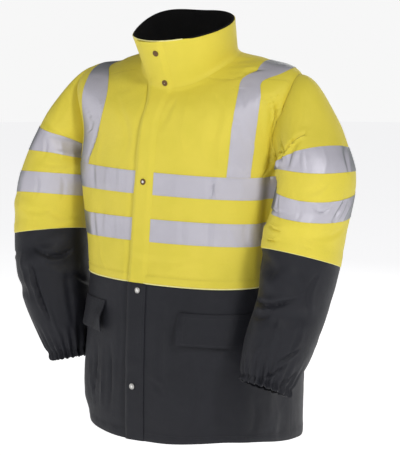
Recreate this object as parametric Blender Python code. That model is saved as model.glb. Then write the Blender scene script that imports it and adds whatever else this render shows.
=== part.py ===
"""A hi-vis work jacket, closed and filled out as on a wearer, cut from cloth walls.

Frame: metres, +Z up, -Y the front, +X the wearer's left. The origin is the middle of the
neck seam, where the jacket hangs on the wearer's shoulders.
"""
import math

import bpy
import numpy as np
from mathutils import Matrix, Vector

MM = 0.001

# Cloth thicknesses, and the gap left between two pieces where they are sewn.
SEAM_GAP = 0.3 * MM
CLOTH = 1.6 * MM
CUFF_CLOTH = 1.2 * MM
FLAP_CLOTH = 2.4 * MM
LINING = 2.4 * MM
TAPE = 1.0 * MM

# Heights on the body, in millimetres up the cloth from the hem.
POCKET_FLAP_BOTTOM = 203
POCKET_FLAP_TOP = 272
WAIST = 325
LOWER_BAND = 439
UPPER_BAND = 542
ARMHOLE_LOW = 582
ARMHOLE_HIGH = 715
NECK = 815
TAPE_WIDTH = 50
ARMHOLE_ROWS = 8

# Places round the body, in nominal degrees from the closure line.
FLAP_EDGE = 6
POCKET_FRONT = 22
NECK_SEAM = 44
ARMHOLE_FRONT = 70
SHOULDER_SEAM = 78
POCKET_BACK = 78
SIDE_SEAM = 94
ARMHOLE_BACK = 118

# How far the storm flap and the pocket flaps stand off the cloth at their free edges.
STORM_FLAP_STAND = 1.9 * MM
POCKET_FLAP_STAND = 5 * MM
COLLAR_LINING_DROP = 1.0 * MM

# Straps over the shoulders: how far out their inner and outer edges lie, along a run that
# climbs the front (negative), crosses the ridge at 0 and goes down the back, in millimetres.
# The run counts a place further from the ridge the more it lies below the neck, by STRAP_CLIMB.
STRAP_COLUMNS = ("run", "inner", "outer")
STRAP_BACK = [(60, 176, 230), (150, 166, 212), (300, 163, 206), (900, 163, 206)]
STRAP_LEFT = [(-900, 163, 205), (-420, 163, 205), (-300, 166, 205), (-240, 170, 209),
              (-200, 171, 214), (-160, 169, 216), (-120, 165, 213), (-80, 164, 207),
              (-45, 177, 224), (-15, 179, 236), (10, 178, 240)] + STRAP_BACK
STRAP_RIGHT = [(-900, 200, 244), (-400, 196, 242), (-353, 184, 238), (-330, 175, 234),
               (-310, 165, 230), (-287, 158, 227), (-259, 153, 225), (-218, 152, 225),
               (-169, 157, 226), (-95, 175, 232), (-70, 184, 237), (-26, 203, 246),
               (10, 202, 248)] + STRAP_BACK
STRAP_CLIMB = 90 * MM

# Distances down a sleeve from the armhole, in millimetres.
SLEEVE_BLEND = 80
SLEEVE_BAND_UPPER = (102, 144)
SLEEVE_BAND_LOWER = (183, 231)
ELBOW_SEAM = 305
GATHER_START = 500
GATHER_DEPTH = 1.9
POINTS_PER_GATHER = 4
BLEND_POWER = 0.75

# Where rows really lie down a sleeve: at the outside, and how much further at the front and
# underneath, because the bands hang level while the arm reaches forward.
LINE_COLUMNS = ("row", "base", "front", "under")
SLEEVE_LINES = {
    1: [(0, 0, 0, 0), (102, 108, 4, 0), (144, 149, 12, -36), (183, 187, 22, -22),
        (231, 223, 22, -8), (305, 307, -3, 0), (400, 400, 0, 0), (580, 580, 0, 0)],
    -1: [(0, 0, 0, 0), (34, 34, 0, -6), (102, 97, 0, -50), (144, 144, 0, -30), (183, 183, 0, 0),
         (231, 222, 0, 14), (305, 308, 0, -6), (400, 400, 0, 0), (580, 580, 0, 0)],
}

# Press studs: heights up the collar or the body, how far each lies from the closure line
# toward the sewn edge of the flap, and how far it is sunk to seat on the flap, in millimetres.
SNAP_RADIUS = 6.5 * MM
SNAP_HEIGHT = 2.2 * MM
SNAP_LIFT = 0.35 * MM
SNAP_SEGMENTS = 16
SNAP_PROFILE_COLUMNS = ("radius_share", "height_share")
SNAP_PROFILE = [(0.0, 0.0), (1.0, 0.0), (1.0, 0.45), (0.86, 0.95), (0.66, 1.0),
                (0.52, 0.62), (0.28, 0.80), (0.0, 0.90)]
SNAP_COLUMNS = ("up", "aside", "sunk")
COLLAR_SNAPS = [(78, 5, 0.1), (12, 9, 0.8)]
BODY_SNAPS = [(546, 0, 0), (311, 2, 0), (98, -3, 0)]

# Each row is one ring of the body, with its sizes in millimetres: how far up the cloth it
# lies from the hem, its half width, how square it is, and where its front, sides and back
# lie. "tilt" lifts the wearer's left side and "shift" moves the ring toward it.
RING_COLUMNS = ("name", "up", "width", "square", "y_front", "y_side", "y_back",
                "z_front", "z_side", "z_back", "tilt", "shift")
BODY_RINGS = [
    ("hem",        0, 238, .050, -193,   8, 192, -788, -796, -822,   0,  4),
    ("skirt",    120, 239, .045, -187,   8, 189, -668, -676, -690,  -2,  3),
    ("hip",      225, 240, .040, -179,   6, 184, -566, -568, -572,  -2,  2),
    ("waist",    325, 241, .035, -167,   4, 178, -471, -466, -462,   0,  0),
    ("belly",    420, 244, .035, -154,   2, 170, -378, -380, -372,   3, -2),
    ("chest",    500, 247, .035, -146,   0, 162, -302, -302, -292,   0, -4),
    ("armpit",   570, 250, .030, -141,   0, 154, -236, -232, -222,  -5, -5),
    ("breast",   640, 256, .020, -136,   0, 144, -176, -146, -146,  -9, -6),
    ("shoulder", 710, 266, .010, -128,   0, 126, -126,  -38,  -54,  -6, -6),
    ("yoke",     765, 192, .000, -112,   0, 110,  -92,  -16,  -22,   0, -2),
    ("slope",    788, 152, .000, -102,   0, 102,  -80,   -4,   -7,  -4, -1),
    ("neck",     815, 104, .000,  -90,   0,  92,  -66,   -3,   10,  -4,  0),
]
COLLAR_RINGS = [
    ("seam",    0, 104, .000,  -90,   0,  92,  -66,  -3,   10,  -4,  0),
    ("middle", 50, 107, .000, -112, -14,  86,  -17,  31,   54,  -2,  0),
    ("top",   100, 111, .000, -134, -29,  76,   31,  64,   98,   0,  0),
]

# The closure line lies "aside" to the wearer's right of the middle. The storm flap reaches
# "free" beyond it on that side and "sewn" on the other.
CLOSURE_COLUMNS = ("up", "aside", "free", "sewn")
SEWN = 23.5
CLOSURE = [
    (0,   22, 23.5, SEWN),
    (325, 25, 23.5, SEWN),
    (500, 22, 23.5, SEWN),
    (640, 15, 21.5, SEWN),
    (710, 12, 19.0, SEWN),
    (765, 10, 25.0, SEWN),
    (815,  8, 46.0, SEWN),
]

# Each row is one station down a sleeve: distance along it, its centre for the wearer's left
# (x is mirrored on the right), its half sizes outward and forward, how many degrees its
# direction droops below the horizontal and swings forward, and how far its inner side dips.
ARM_COLUMNS = ("name", "along", "x", "y", "z", "outward", "forward", "droop", "swing", "dip")
LEFT_ARM = [
    ("cap",       0, 254,   -5, -126,  95,  66,   2,  0,  0),
    ("head",     30, 281,   -8, -136,  97,  76,  18,  3,  0),
    ("upper",    60, 297,  -14, -160,  72,  86,  34,  6,  0),
    ("deltoid", 105, 314,  -28, -189,  65,  93,  72, 10, 20),
    ("band",    146, 327,  -40, -229,  75,  95,  82, 12,  8),
    ("biceps",  190, 327,  -54, -277,  78,  96,  90, 14,  0),
    ("elbow",   305, 318,  -84, -394,  78,  94,  95, 16,  0),
    ("crook",   395, 316, -108, -482,  67,  91,  95, 18,  0),
    ("forearm", 480, 302, -140, -565,  66,  83,  94, 21,  0),
    ("wrist",   580, 297, -186, -648,  49,  52,  97, 28,  0),
]
RIGHT_ARM = [
    ("cap",       0, 272,   -5, -117,  96,  66,   2,  0,  0),
    ("head",     30, 285,   -7, -128,  84,  74,  17,  3,  0),
    ("upper",    60, 303,  -12, -154,  67,  86,  34,  5,  0),
    ("deltoid", 105, 321,  -22, -192,  58,  93,  72,  7, 20),
    ("band",    146, 330,  -30, -232,  72,  95,  83,  8,  8),
    ("biceps",  190, 337,  -42, -278,  80,  96,  92,  8,  0),
    ("elbow",   305, 343,  -60, -402,  78,  95,  98,  8,  0),
    ("forearm", 480, 305,  -82, -578,  68,  84,  99,  7,  0),
    ("wrist",   580, 268,  -92, -686,  38,  50, 104,  6,  0),
]

# Large soft folds of the body: where each runs, how wide and how deep it is (a ridge is
# positive, a trough negative). "lean" turns it with height, in degrees a metre.
FOLD_COLUMNS = ("angle", "low", "high", "half_angle", "lean", "depth")
BODY_FOLDS = [
    (-44,  -60, 250, 12,   8,  7),
    (-64,  -40, 300, 10,   0, -5),
    (52,   -60, 220, 14,  -8,  6),
    (84,   -60, 300, 12,   0, -6),
    (128,  -60, 420, 13,   8,  6),
    (158,  -60, 330, 13,   0, -5),
    (-122, -60, 400, 13,  -8,  6),
    (-152, -60, 360, 13,   4, -5),
    (-40,  330, 560, 12,   0,  4),
    (146,  430, 620, 13,  16,  5),
    (-140, 420, 620, 13, -16,  5),
    (-64,  -48,  48, 34,   0, -26),
    (-62,  470, 690, 32,   0,  9),
    (-60,  370, 620, 30,   0,  5),
    (-66,  270, 370, 28,   0, -6),
    (-58,  620, 770, 28,   0,  8),
]
# Where an edge of the body or the collar leaves its ring: the middle angle, how far to either
# side, and how much the edge rises there, easing out over the reach.
RISE_COLUMNS = ("angle", "half_angle", "rise")
HEM_RISES = [(-30, 36, -10), (0, 46, -17), (78, 34, -9), (112, 50, -24), (-76, 40, 12)]
HEM_REACH = 120
COLLAR_RISES = [(-122, 58, 13)]
COLLAR_REACH = 100
# Large soft folds of a sleeve: "angle" is 0 on the outside and 90 at the front.
SLEEVE_FOLD_COLUMNS = ("along", "half_along", "angle", "half_angle", "slant", "depth")
SLEEVE_FOLDS = [
    (78,  22,  128, 46, -20, -7),
    (112, 18,  150, 50, -16,  6),
    (250, 26,   70, 60,  14,  4),
    (330, 24,  120, 60, -22, -7),
    (372, 24,  100, 60, -18,  6),
    (430, 24,   60, 66,  20, -5),
    (300, 30,  -90, 60,   0,  5),
    (365, 26,  -80, 60,  14, -4),
    (90,  24, -130, 46,  16, -6),
]

YELLOW = (0.76, 0.66, 0.09)
DARK = (0.035, 0.037, 0.043)
SILVER = (0.50, 0.50, 0.54)
BLACK_FLEECE = (0.010, 0.010, 0.011)
BRASS = (0.45, 0.30, 0.14)

# Nominal angles of the body's grid columns on one side, and the rows of every grid.
HALF_COLUMNS = (0, FLAP_EDGE, 14, POCKET_FRONT, 31, 41, 51, 61, ARMHOLE_FRONT, SHOULDER_SEAM, 86,
                SIDE_SEAM, 102, 110, ARMHOLE_BACK, 127, 136, 145, 154, 163, 172, 180)
BODY_ROWS = ([0, 28, 64, 130, POCKET_FLAP_BOTTOM, POCKET_FLAP_TOP, WAIST, 370,
              LOWER_BAND - TAPE_WIDTH / 2, LOWER_BAND + TAPE_WIDTH / 2,
              UPPER_BAND - TAPE_WIDTH / 2, UPPER_BAND + TAPE_WIDTH / 2]
             + list(np.linspace(ARMHOLE_LOW, ARMHOLE_HIGH, ARMHOLE_ROWS + 1))
             + [735, 755, 775, 795, NECK])
COLLAR_ROWS = (0, 33, 66, 100)
SLEEVE_ROWS = (0, 14, 34, 58, SLEEVE_BLEND, *SLEEVE_BAND_UPPER, *SLEEVE_BAND_LOWER, 266,
               ELBOW_SEAM, 340, 375, 410, 445, 475, GATHER_START)
CUFF_ROWS = (GATHER_START, 530, 558, 580)


def natural_cubic(knots, values):
    """A natural cubic spline through the values at the knots, as a function."""
    x = np.asarray(knots, float)
    y = np.asarray(values, float)
    step = np.diff(x)
    count = len(x)
    system = np.eye(count)
    right = np.zeros(count)
    for i in range(1, count - 1):
        system[i, i - 1:i + 2] = step[i - 1], 2 * (step[i - 1] + step[i]), step[i]
        right[i] = 6 * ((y[i + 1] - y[i]) / step[i] - (y[i] - y[i - 1]) / step[i - 1])
    bend = np.linalg.solve(system, right)

    def at(place):
        place = np.clip(np.asarray(place, float), x[0], x[-1])
        i = np.clip(np.searchsorted(x, place, side="right") - 1, 0, count - 2)
        after = place - x[i]
        before = x[i + 1] - place
        cubic = (bend[i] * before ** 3 + bend[i + 1] * after ** 3) / (6 * step[i])
        return (cubic + (y[i] / step[i] - bend[i] * step[i] / 6) * before
                + (y[i + 1] / step[i] - bend[i + 1] * step[i] / 6) * after)

    return at


def table_splines(columns, rows, along):
    """One spline for each numeric column of a table, against the column named along."""
    knots = [row[columns.index(along)] for row in rows]
    return {name: natural_cubic(knots, [row[i] for row in rows])
            for i, name in enumerate(columns) if name not in ("name", along)}


def unit(vectors):
    return vectors / np.linalg.norm(vectors, axis=-1, keepdims=True)


def smooth_step(value):
    value = np.clip(value, 0, 1)
    return value * value * (3 - 2 * value)


def bump(distance):
    """A soft hump, 1 at distance 0 and 0 from 1 on."""
    return np.where(np.abs(distance) < 1, np.cos(np.clip(distance, -1, 1) * math.pi / 2) ** 2, 0)


def ring_point(splines, angle, up):
    """Points in metres on a stack of rings, at angles in radians from the front."""
    size = {name: spline(up) for name, spline in splines.items()}
    square = size["square"]
    sine = (1 + square) * np.sin(angle) + square * np.sin(3 * angle)
    cosine = (1 + square) * np.cos(angle) - square * np.cos(3 * angle)

    def around(front, side, back):
        return side + (front - back) / 2 * cosine + ((front + back) / 2 - side) * cosine ** 2

    x = size["width"] * sine + size["shift"]
    y = around(size["y_front"], size["y_side"], size["y_back"])
    z = around(size["z_front"], size["z_side"], size["z_back"]) + size["tilt"] * sine
    return np.stack(np.broadcast_arrays(x, y, z), -1) * MM


class Rings:
    """A body of rings with its closure line, in nominal angles from that line."""

    def __init__(self, rows, closure, folds=(), rises=(), edge=0, reach=1):
        self.splines = table_splines(RING_COLUMNS, rows, "up")
        self.top = rows[-1][1]
        self.closure = closure
        self.folds = folds
        self.rises = rises
        self.edge = edge
        self.reach = reach

    def angle(self, nominal, up):
        """Turn nominal degrees from the closure line into radians from the front."""
        width = self.splines["width"](up) * MM * (1 + 4 * self.splines["square"](up))
        nominal = np.asarray(nominal, float)
        closure = {name: spline(up) * MM / width for name, spline in self.closure.items()}
        middle = -closure["aside"]
        half = np.where(nominal < 0, closure["free"], closure["sewn"])
        quarter = math.pi / 2
        size = np.abs(nominal)
        side = np.sign(nominal)
        edge = side * middle + half
        inner = size / FLAP_EDGE * half + side * middle
        outer = edge + (size - FLAP_EDGE) / (90 - FLAP_EDGE) * (quarter - edge)
        beyond = np.radians(size)
        found = np.where(size <= FLAP_EDGE, inner, np.where(size <= 90, outer, beyond))
        return np.where(size == 0, middle, side * found)

    def base(self, angle, up):
        points = ring_point(self.splines, angle, up)
        near = np.clip(1 - np.abs(up - self.edge) / self.reach, 0, 1) ** 2
        for middle, half_angle, rise in self.rises:
            turned = (np.degrees(angle) - middle + 180) % 360 - 180
            points[..., 2] += rise * MM * near * bump(turned / half_angle)
        return points

    def relief(self, angle, up):
        """How far the large folds push the cloth out, in metres."""
        push = 0
        for fold_angle, low, high, half_angle, lean, depth in self.folds:
            middle = (low + high) / 2
            turned = np.degrees(angle) - fold_angle - lean * (up - middle) * MM
            turned = (turned + 180) % 360 - 180
            push = push + depth * bump(turned / half_angle) * bump((up - middle) / (high - low) * 2)
        return push * MM

    def normal(self, surface, angle, up):
        """Outward normals of the base or the folded surface, from small steps along it."""
        turn = 0.01
        rise = 2.0
        up = np.clip(up, rise, self.top - rise)
        across = surface(angle + turn, up) - surface(angle - turn, up)
        upward = surface(angle, up + rise) - surface(angle, up - rise)
        return unit(np.cross(across, upward))

    def point(self, angle, up):
        lift = np.asarray(self.relief(angle, up))[..., None]
        return self.base(angle, up) + self.normal(self.base, angle, up) * lift


class Arm:
    """The tube of a sleeve, whose stations lie along a spline."""

    def __init__(self, rows, side):
        self.splines = table_splines(ARM_COLUMNS, rows, "along")
        self.side = side

    def centre(self, along):
        x, y, z = (self.splines[name](along) for name in ("x", "y", "z"))
        return np.stack(np.broadcast_arrays(self.side * x, y, z), -1) * MM

    def frame(self, along):
        """The directions down the sleeve, outward and forward."""
        droop = np.radians(self.splines["droop"](along))
        swing = np.radians(self.splines["swing"](along))
        down = unit(np.stack([self.side * np.cos(droop), -np.sin(swing), -np.sin(droop)], -1))
        level = np.stack([self.side * np.sin(droop), 0 * droop, np.cos(droop)], -1)
        outward = unit(level - np.sum(level * down, -1, keepdims=True) * down)
        return down, outward, np.cross(down, outward) * self.side

    def relief(self, angle, along):
        push = 0
        for place, half_along, fold_angle, half_angle, slant, depth in SLEEVE_FOLDS:
            turned = (np.degrees(angle) - fold_angle + 180) % 360 - 180
            slid = along - place - slant * turned / half_angle
            push = push + depth * bump(slid / half_along) * bump(turned / half_angle)
        return push

    def point(self, angle, along, extra=0):
        """Points at an angle round the sleeve, 0 outside and a quarter turn at the front."""
        down, outward, forward = self.frame(along)
        swell = self.relief(angle, along) + extra
        out = (self.splines["outward"](along) + swell) * np.cos(angle) * MM
        front = (self.splines["forward"](along) + swell) * np.sin(angle) * MM
        dip = self.splines["dip"](along) * ((1 - np.cos(angle)) / 2) ** 2 * MM
        return (self.centre(along) + outward * out[..., None] + forward * front[..., None]
                + down * dip[..., None])


def grid_normals(points, closed):
    """Outward normals of a grid of points whose columns run round and rows run up."""
    if closed:
        across = np.roll(points, -1, axis=1) - np.roll(points, 1, axis=1)
    else:
        across = np.gradient(points, axis=1)
    upward = np.gradient(points, axis=0)
    return unit(np.cross(across, upward))


class Grid:
    """Rows and columns of points on the garment, with two triangles a cell."""

    def __init__(self, points, normals):
        self.rows, self.columns = points.shape[:2]
        self.points = points.reshape(-1, 3)
        self.normals = normals.reshape(-1, 3)

    def index(self, row, column):
        return row * self.columns + column % self.columns

    def cell(self, row, column):
        low, high = self.index(row, column), self.index(row + 1, column)
        low_next, high_next = self.index(row, column + 1), self.index(row + 1, column + 1)
        return [(low, low_next, high_next), (low, high_next, high)]

    def triangles(self, rows, columns):
        return [corner for row in rows for column in columns for corner in self.cell(row, column)]


def border_edges(triangles):
    """The directed edges that only one triangle of a sheet has."""
    edges = {}
    for number, (a, b, c) in enumerate(triangles):
        for start, end in ((a, b), (b, c), (c, a)):
            if (end, start) in edges:
                del edges[(end, start)]
            else:
                edges[(start, end)] = number
    return edges


def inset_border(points, triangles, border, inset):
    """Move the border of a sheet inward along its own surface, by less at a sharp corner."""
    sharpest = 0.35
    pushes = {}
    for (start, end), number in border.items():
        a, b, c = (points[i] for i in triangles[number])
        inward = unit(np.cross(np.cross(b - a, c - a), points[end] - points[start]))
        for vertex in (start, end):
            pushes.setdefault(vertex, []).append(inward)
    moved = points.copy()
    for vertex, inward in pushes.items():
        mean = np.mean(inward, axis=0)
        moved[vertex] += inset * mean / max(sharpest, float(mean @ mean))
    return moved


def clip_sheet(points, normals, triangles, values):
    """Keep the part of a sheet where the values at its points are not negative."""
    nearest = 0.4 * MM
    values = [0.0 if abs(value) < nearest else value for value in values]
    points, normals = list(points), list(normals)
    cuts = {}

    def cut(a, b):
        key = (min(a, b), max(a, b))
        if key not in cuts:
            share = values[a] / (values[a] - values[b])
            cuts[key] = len(points)
            points.append(points[a] + (points[b] - points[a]) * share)
            normals.append(unit(normals[a] + (normals[b] - normals[a]) * share))
        return cuts[key]

    kept = []
    for triangle in triangles:
        outline = []
        for a, b in zip(triangle, triangle[1:] + triangle[:1]):
            if values[a] >= 0:
                outline.append(a)
            if values[a] * values[b] < 0:
                outline.append(cut(a, b))
        if len(outline) >= 3 and max(values[i] for i in triangle) > 0:
            kept += [(outline[0], outline[i], outline[i + 1]) for i in range(1, len(outline) - 1)]
    return np.array(points), np.array(normals), kept


def make_material(name, colour, roughness, metallic=0.0):
    material = bpy.data.materials.new(name)
    material.use_nodes = True
    shader = material.node_tree.nodes["Principled BSDF"]
    shader.inputs["Base Color"].default_value = (*colour, 1)
    shader.inputs["Roughness"].default_value = roughness
    shader.inputs["Metallic"].default_value = metallic
    return material


def add_object(name, points, faces, material):
    mesh = bpy.data.meshes.new(name)
    used = sorted({index for face in faces for index in face})
    renumber = {index: i for i, index in enumerate(used)}
    mesh.from_pydata([tuple(points[index]) for index in used], [],
                     [tuple(renumber[index] for index in face) for face in faces])
    mesh.materials.append(material)
    mesh.shade_smooth()
    mesh.set_sharp_from_angle(angle=math.radians(40))
    obj = bpy.data.objects.new(name, mesh)
    bpy.context.scene.collection.objects.link(obj)
    return obj


def add_cloth(name, sheet, material, thickness, lift=0.0):
    """A closed cloth wall whose outer face is the sheet, lifted off it and inset at its seams."""
    points, normals, triangles = sheet
    border = border_edges(triangles)
    outer = points + normals * np.broadcast_to(lift, len(points))[:, None]
    outer = inset_border(outer, triangles, border, SEAM_GAP / 2)
    inner = outer - normals * thickness
    count = len(points)
    faces = list(triangles)
    faces += [(a + count, c + count, b + count) for a, b, c in triangles]
    for start, end in border:
        faces += [(end, start, start + count), (end, start + count, end + count)]
    return add_object(name, np.concatenate([outer, inner]), faces, material)


def armhole_warp(nominal, up):
    """Round the block of grid cells at each armhole into an oval."""
    middle = (ARMHOLE_FRONT + ARMHOLE_BACK) / 2
    half = (ARMHOLE_BACK - ARMHOLE_FRONT) / 2
    centre = (ARMHOLE_LOW + ARMHOLE_HIGH) / 2
    reach = (ARMHOLE_HIGH - ARMHOLE_LOW) / 2
    across = (np.abs(nominal) - middle) / half
    upward = (up - centre) / reach
    size = np.maximum(np.abs(across), np.abs(upward))
    round_size = np.maximum(np.hypot(across, upward), 1e-9)
    strength = smooth_step(2 - size) * (up > UPPER_BAND + TAPE_WIDTH / 2)
    scale = 1 + (size / round_size - 1) * strength
    new_nominal = np.sign(nominal) * (middle + across * scale * half)
    return np.where(strength > 0, new_nominal, nominal), centre + upward * scale * reach


def shoulder_warp(nominal, up):
    """Carry the shoulder seam forward as it climbs from the armhole to the neck."""
    climb = np.clip((up - ARMHOLE_HIGH) / (NECK - ARMHOLE_HIGH), 0, 1)
    seam = SHOULDER_SEAM + (NECK_SEAM - SHOULDER_SEAM) * climb
    size = np.abs(nominal)
    front = FLAP_EDGE + (size - FLAP_EDGE) * (seam - FLAP_EDGE) / (SHOULDER_SEAM - FLAP_EDGE)
    back = 180 - (180 - size) * (180 - seam) / (180 - SHOULDER_SEAM)
    moved = np.where(size < SHOULDER_SEAM, front, back)
    return np.where(size <= FLAP_EDGE, nominal, np.sign(nominal) * moved)


def body_grid(body, nominals):
    nominal, up = np.meshgrid(np.array(nominals, float), np.array(BODY_ROWS, float))
    nominal, up = armhole_warp(nominal, up)
    nominal = shoulder_warp(nominal, up)
    angle = body.angle(nominal, up)
    return Grid(body.point(angle, up), body.normal(body.point, angle, up))


def collar_grid(collar, nominals):
    nominal, up = np.meshgrid(np.array(nominals, float), np.array(COLLAR_ROWS, float))
    nominal = shoulder_warp(nominal, NECK)
    points = collar.point(collar.angle(nominal, up), up)
    return Grid(points, grid_normals(points, closed=True))


def armhole_loop(nominals, side):
    """The body grid's (row, column) pairs round one armhole, from its top toward the front."""
    first = nominals.index(side * ARMHOLE_FRONT)
    last = nominals.index(side * ARMHOLE_BACK)
    step = 1 if last > first else -1
    top = BODY_ROWS.index(ARMHOLE_HIGH)
    bottom = BODY_ROWS.index(ARMHOLE_LOW)
    middle = nominals.index(side * SIDE_SEAM)
    loop = [(top, column) for column in range(middle, first, -step)]
    loop += [(row, first) for row in range(top, bottom, -1)]
    loop += [(bottom, column) for column in range(first, last, step)]
    loop += [(row, last) for row in range(bottom, top)]
    loop += [(top, column) for column in range(last, middle, -step)]
    return loop


def sleeve_lines(side, row, angle):
    """How far down a sleeve one of its rows lies at each angle."""
    table = np.array(SLEEVE_LINES[side], float)
    base, front, under = (np.interp(row, table[:, 0], table[:, i]) for i in (1, 2, 3))
    return base + front * np.sin(angle) + under * ((1 - np.cos(angle)) / 2) ** 2


def sleeve_points(arm, loop_points, rows):
    """Points of a sleeve from its armhole loop down, with the loop eased into the tube."""
    count = len(loop_points)
    _, outward, forward = arm.frame(np.array(0.0))
    spokes = loop_points - arm.centre(np.array(0.0))
    loop_angle = np.unwrap(np.arctan2(spokes @ forward, spokes @ outward))
    even_angle = np.arange(count) * 2 * math.pi / count
    rings = []
    for row in rows:
        along = sleeve_lines(arm.side, row, even_angle)
        ease = smooth_step(along / SLEEVE_BLEND)
        angle = loop_angle + (even_angle - loop_angle) * ease
        tube = arm.point(angle, along)
        rings.append(loop_points + (tube - loop_points) * ease[:, None] ** BLEND_POWER)
    return np.array(rings)


def cuff_points(arm, columns, rows):
    """Points of the gathered cuff, with several columns to each gather."""
    count = columns * POINTS_PER_GATHER
    angle = np.arange(count) * 2 * math.pi / count
    wave = np.cos(np.arange(count) * 2 * math.pi / POINTS_PER_GATHER)
    rings = []
    for along in rows[1:]:
        deep = smooth_step((along - rows[0]) / (rows[-2] - rows[0])) * GATHER_DEPTH
        rings.append(arm.point(angle, np.full(count, float(along)), wave * deep))
    return np.array(rings)


def sleeve_grid(arm, loop_points):
    """A sleeve's grid from the last plain row up to the armhole, its columns facing out."""
    rings = sleeve_points(arm, loop_points, SLEEVE_ROWS)
    rings = rings[::-1] if arm.side < 0 else rings[::-1, ::-1]
    return Grid(rings, grid_normals(rings, closed=True))


def share_normals(first, first_rows, second, second_rows):
    """Give two grids that meet at a seam the same normals there, so that their walls mitre."""
    shared = unit(first.normals[first_rows] + second.normals[second_rows])
    first.normals[first_rows] = shared
    second.normals[second_rows] = shared


def make_sleeve(label, arm, grid, materials):
    """The upper and lower halves of a sleeve and its two bands of tape."""
    last = len(SLEEVE_ROWS) - 1
    seam = last - SLEEVE_ROWS.index(ELBOW_SEAM)
    around = range(grid.columns)

    def between(start, end):
        rows = range(last - SLEEVE_ROWS.index(end), last - SLEEVE_ROWS.index(start))
        return grid.points, grid.normals, grid.triangles(rows, around)

    upper = (grid.points, grid.normals, grid.triangles(range(seam, last), around))
    add_cloth(f"sleeve_{label}_upper", upper, materials["yellow"], CLOTH)
    for name, edges in (("upper", SLEEVE_BAND_UPPER), ("lower", SLEEVE_BAND_LOWER)):
        band = between(*edges)
        add_cloth(f"sleeve_{label}_band_{name}", band, materials["silver"], TAPE, SEAM_GAP + TAPE)

    cuff = cuff_points(arm, grid.columns, CUFF_ROWS)
    cuff = cuff[::-1] if arm.side < 0 else cuff[::-1, ::-1]
    if arm.side > 0:
        cuff = np.roll(cuff, POINTS_PER_GATHER - 1, axis=1)
    cuff_grid = Grid(cuff, grid_normals(cuff, closed=True))
    triangles = cuff_grid.triangles(range(len(cuff) - 1), range(cuff_grid.columns))
    offset = len(cuff_grid.points)
    top = (len(cuff) - 1) * cuff_grid.columns
    for column in around:
        above = offset + grid.index(0, column)
        above_next = offset + grid.index(0, column + 1)
        below = [top + (column * POINTS_PER_GATHER + i) % cuff_grid.columns
                 for i in range(POINTS_PER_GATHER + 1)]
        half = POINTS_PER_GATHER // 2
        triangles += [(below[i], below[i + 1], above) for i in range(half)]
        triangles += [(below[i], below[i + 1], above_next) for i in range(half, POINTS_PER_GATHER)]
        triangles.append((above, below[half], above_next))
    triangles += [tuple(offset + i for i in corner)
                  for corner in grid.triangles(range(0, seam), around)]
    points = np.concatenate([cuff_grid.points, grid.points])
    normals = np.concatenate([cuff_grid.normals, grid.normals])
    add_cloth(f"sleeve_{label}_lower", (points, normals, triangles), materials["dark"], CUFF_CLOTH)


def make_body(body, grid, nominals, materials):
    """The six body panels, cut from one grid at the waist, side and shoulder seams."""
    waist = BODY_ROWS.index(WAIST)
    top = len(BODY_ROWS) - 1
    low, high = BODY_ROWS.index(ARMHOLE_LOW), BODY_ROWS.index(ARMHOLE_HIGH)

    def sheet(rows_columns):
        corners = [c for row, column in rows_columns for c in grid.cell(row, column)]
        return grid.points, grid.normals, corners

    def column_span(start, end):
        return range(nominals.index(start), nominals.index(end))

    for label, side in (("left", 1), ("right", -1)):
        edges = (0, side * SIDE_SEAM), (0, side * ARMHOLE_FRONT), (0, side * SHOULDER_SEAM)
        below, beside, above = (column_span(*sorted(edge)) for edge in edges)
        upper = [(r, c) for r in range(waist, low) for c in below]
        upper += [(r, c) for r in range(low, high) for c in beside]
        upper += [(r, c) for r in range(high, top) for c in above]
        add_cloth(f"front_{label}_upper", sheet(upper), materials["yellow"], CLOTH)
        lower = [(r, c) for r in range(waist) for c in below]
        add_cloth(f"front_{label}_lower", sheet(lower), materials["dark"], CLOTH)

    def back_span(edge):
        return [c % grid.columns for c in range(nominals.index(edge),
                                                nominals.index(-edge) + grid.columns)]

    upper = [(r, c) for r in range(waist, low) for c in back_span(SIDE_SEAM)]
    upper += [(r, c) for r in range(low, high) for c in back_span(ARMHOLE_BACK)]
    upper += [(r, c) for r in range(high, top) for c in back_span(SHOULDER_SEAM)]
    add_cloth("back_upper", sheet(upper), materials["yellow"], CLOTH)
    lower = [(r, c) for r in range(waist) for c in back_span(SIDE_SEAM)]
    add_cloth("back_lower", sheet(lower), materials["dark"], CLOTH)


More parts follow.
